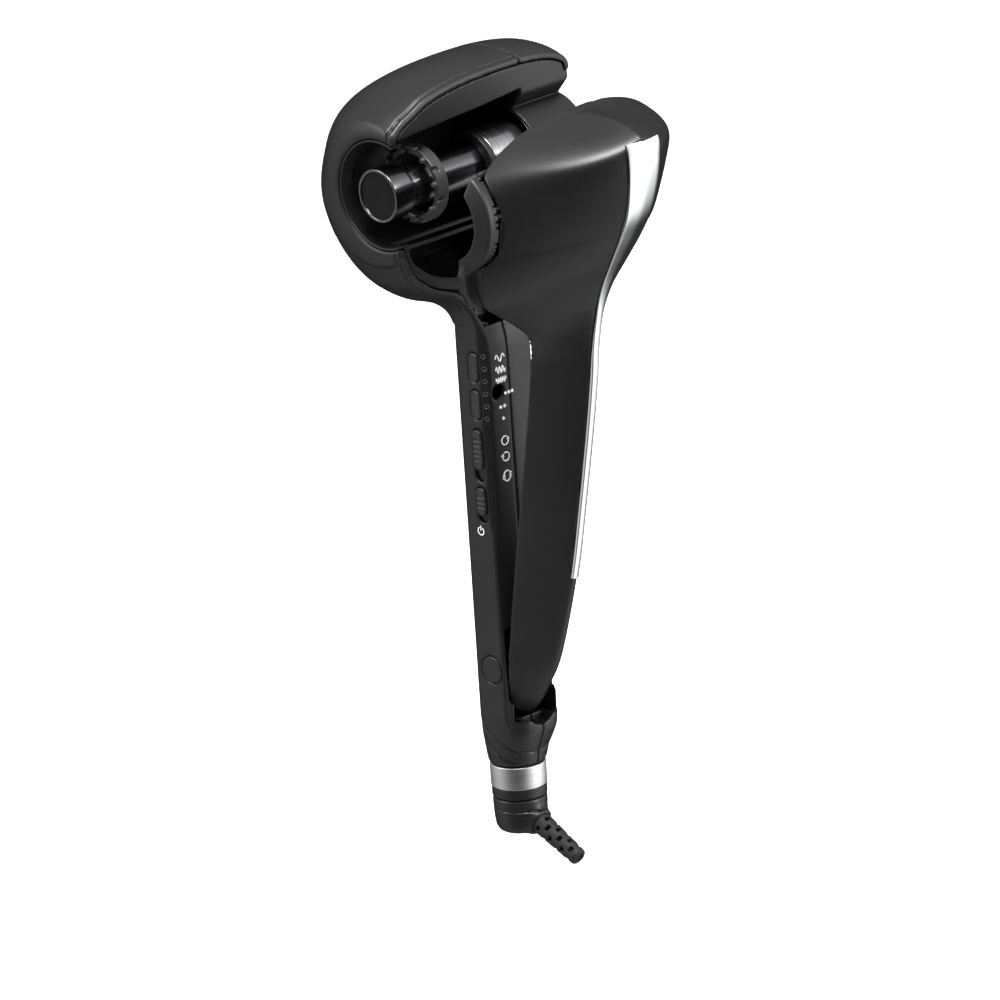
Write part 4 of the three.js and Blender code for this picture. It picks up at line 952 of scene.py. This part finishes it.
def relief_plug():
    """Closed end of the relief's hole, turned into line with the relief."""
    p, faces = disc(1.66, -1.0, 0.3, 0.2, axis="z", centre=(0, 0), seg=32)
    along = 25.2 + p[:, 2]
    x = RX + along * math.cos(PITCH) + p[:, 1] * math.sin(PITCH)
    z = RZ - along * math.sin(PITCH) + p[:, 1] * math.cos(PITCH)
    return np.stack([x, p[:, 0], z], 1), faces


piece("relief_plug", *relief_plug(), INNER, "cord_exit", "relief_rubber")


# ---- carried-over nodes -------------------------------------------------
# The rotor's gear takes the black moulding rather than the idler's natural plastic: a painted shade that
# stands for the shadow in its notch behind the chamber.
LOOKS = {
    "heater_core": CERAMIC, "barrel_mount": CERAMIC, "thermostat": HIDDEN_STEEL, "rotor_gear": INNER,
    "idler_gear": GEAR, "motor_pinion": BRASS, "motor_body": HIDDEN_STEEL, "gear_bracket": HIDDEN_STEEL,
    "main_board": BOARD, "lid_microswitch": TRIM, "hinge_pin": HIDDEN_STEEL, "torsion_spring": HIDDEN_STEEL,
    "collar_core": TRIM, "handle_screw_1": HIDDEN_STEEL, "handle_screw_2": HIDDEN_STEEL, "lid_plunger": TRIM,
    "lid_screw_1": HIDDEN_STEEL, "lid_screw_2": HIDDEN_STEEL,
}
for name, mat in LOOKS.items():
    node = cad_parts[name]
    node.data.materials.clear()
    node.data.materials.append(mat)


# ---- stage --------------------------------------------------------------
def stage_material(name, color):
    mat, _, bsdf = new_material(name)
    bsdf.inputs["Base Color"].default_value = (*color, 1)
    bsdf.inputs["Roughness"].default_value = 0.9
    bsdf.inputs["Specular IOR Level"].default_value = 0.1
    bsdf.inputs["Emission Color"].default_value = (1, 1, 1, 1)
    bsdf.inputs["Emission Strength"].default_value = 0.55
    return mat


mesh = bpy.data.meshes.new("floor")
mesh.from_pydata([(-6, -6, -0.002), (6, -6, -0.002), (6, 6, -0.002), (-6, 6, -0.002)], [], [(0, 1, 2, 3)])
mesh.materials.append(stage_material("pale_floor", (0.86, 0.86, 0.86)))
floor = bpy.data.objects.new("floor", mesh)
bpy.context.collection.objects.link(floor)
floor.visible_glossy = False

world = bpy.data.worlds.new("studio")
bpy.context.scene.world = world
world.use_nodes = True

# The room is dark on the camera's side and low behind the object, and bright to the right.
wt = world.node_tree
room = wt.nodes["Background"]
room.inputs["Color"].default_value = (1, 1, 1, 1)
toward = wt.nodes.new("ShaderNodeTexCoord")


def room_light(direction, steps):
    """Smooth ramp of light level about a direction, from two cosines and the levels at them."""
    dot = wt.nodes.new("ShaderNodeVectorMath")
    dot.operation = "DOT_PRODUCT"
    dot.inputs[1].default_value = Vector(direction).normalized()
    wt.links.new(toward.outputs["Generated"], dot.inputs[0])
    ramp = wt.nodes.new("ShaderNodeMapRange")
    ramp.interpolation_type = "SMOOTHSTEP"
    for socket, value in zip(("From Min", "From Max", "To Min", "To Max"), steps):
        ramp.inputs[socket].default_value = value
    wt.links.new(dot.outputs["Value"], ramp.inputs["Value"])
    return ramp.outputs["Result"]


dark_side = room_light((0.66, -0.70, -0.05), (0.22, 0.92, 0.55, 0.012))
right_wall = room_light((0.85, 0.5, -0.1), (0.40, 0.85, 1.0, 2.6))
dark_corner = room_light((-0.62, 0.62, -0.48), (0.25, 0.85, 1.0, 0.06))
level = wt.nodes.new("ShaderNodeMath")
level.operation = "MULTIPLY"
wt.links.new(dark_side, level.inputs[0])
wt.links.new(right_wall, level.inputs[1])
total = wt.nodes.new("ShaderNodeMath")
total.operation = "MULTIPLY"
wt.links.new(level.outputs["Value"], total.inputs[0])
wt.links.new(dark_corner, total.inputs[1])
wt.links.new(total.outputs["Value"], room.inputs["Strength"])

middle = Vector((-ORIGIN[0] / 1000, 0, 0.16))
PANEL_DIST = 1.2


def panel(name, azimuth, elevation, size, power):
    az, el = math.radians(azimuth), math.radians(elevation)
    out = Vector((math.sin(az) * math.cos(el), -math.cos(az) * math.cos(el), math.sin(el)))
    light = bpy.data.lights.new(name, "AREA")
    light.shape = "RECTANGLE"
    light.size, light.size_y = size
    light.energy = power
    obj = bpy.data.objects.new(name, light)
    obj.location = middle + out * PANEL_DIST
    obj.rotation_euler = out.to_track_quat("Z", "Y").to_euler()
    bpy.context.collection.objects.link(obj)


panel("key_left", -35, 30, (0.4, 0.9), 7)
panel("top", 60, 72, (0.6, 0.45), 26)
panel("side_right", 118, 15, (0.3, 1.0), 8)

AZ, EL, ROLL = math.radians(46.6), math.radians(18.5), math.radians(3.8)
back = Vector((math.sin(AZ) * math.cos(EL), -math.cos(AZ) * math.cos(EL), math.sin(EL)))
right = Vector((math.cos(AZ), math.sin(AZ), 0))
upward = back.cross(right)
cam_r = right * math.cos(ROLL) - upward * math.sin(ROLL)
cam_u = right * math.sin(ROLL) + upward * math.cos(ROLL)
SCALE = 2724.0             # how large the object stands in the view
DIST = 4.0
aim = Vector(((np.array([0, 0, 130.0]) - ORIGIN) / 1000).tolist())
aim += cam_r * (3.2 / SCALE) - cam_u * (57 / SCALE)  # places the object in the view
cam = bpy.data.cameras.new("camera")
cam.sensor_width = 36.0
cam.lens = 36.0 * SCALE * DIST / 1000.0
cam.clip_end = 50
cam_obj = bpy.data.objects.new("camera", cam)
rot = Matrix((cam_r, cam_u, back)).transposed()
cam_obj.matrix_world = Matrix.Translation(aim + back * DIST) @ rot.to_4x4()
bpy.context.collection.objects.link(cam_obj)
bpy.context.scene.camera = cam_obj
bpy.context.scene.view_settings.view_transform = "Standard"
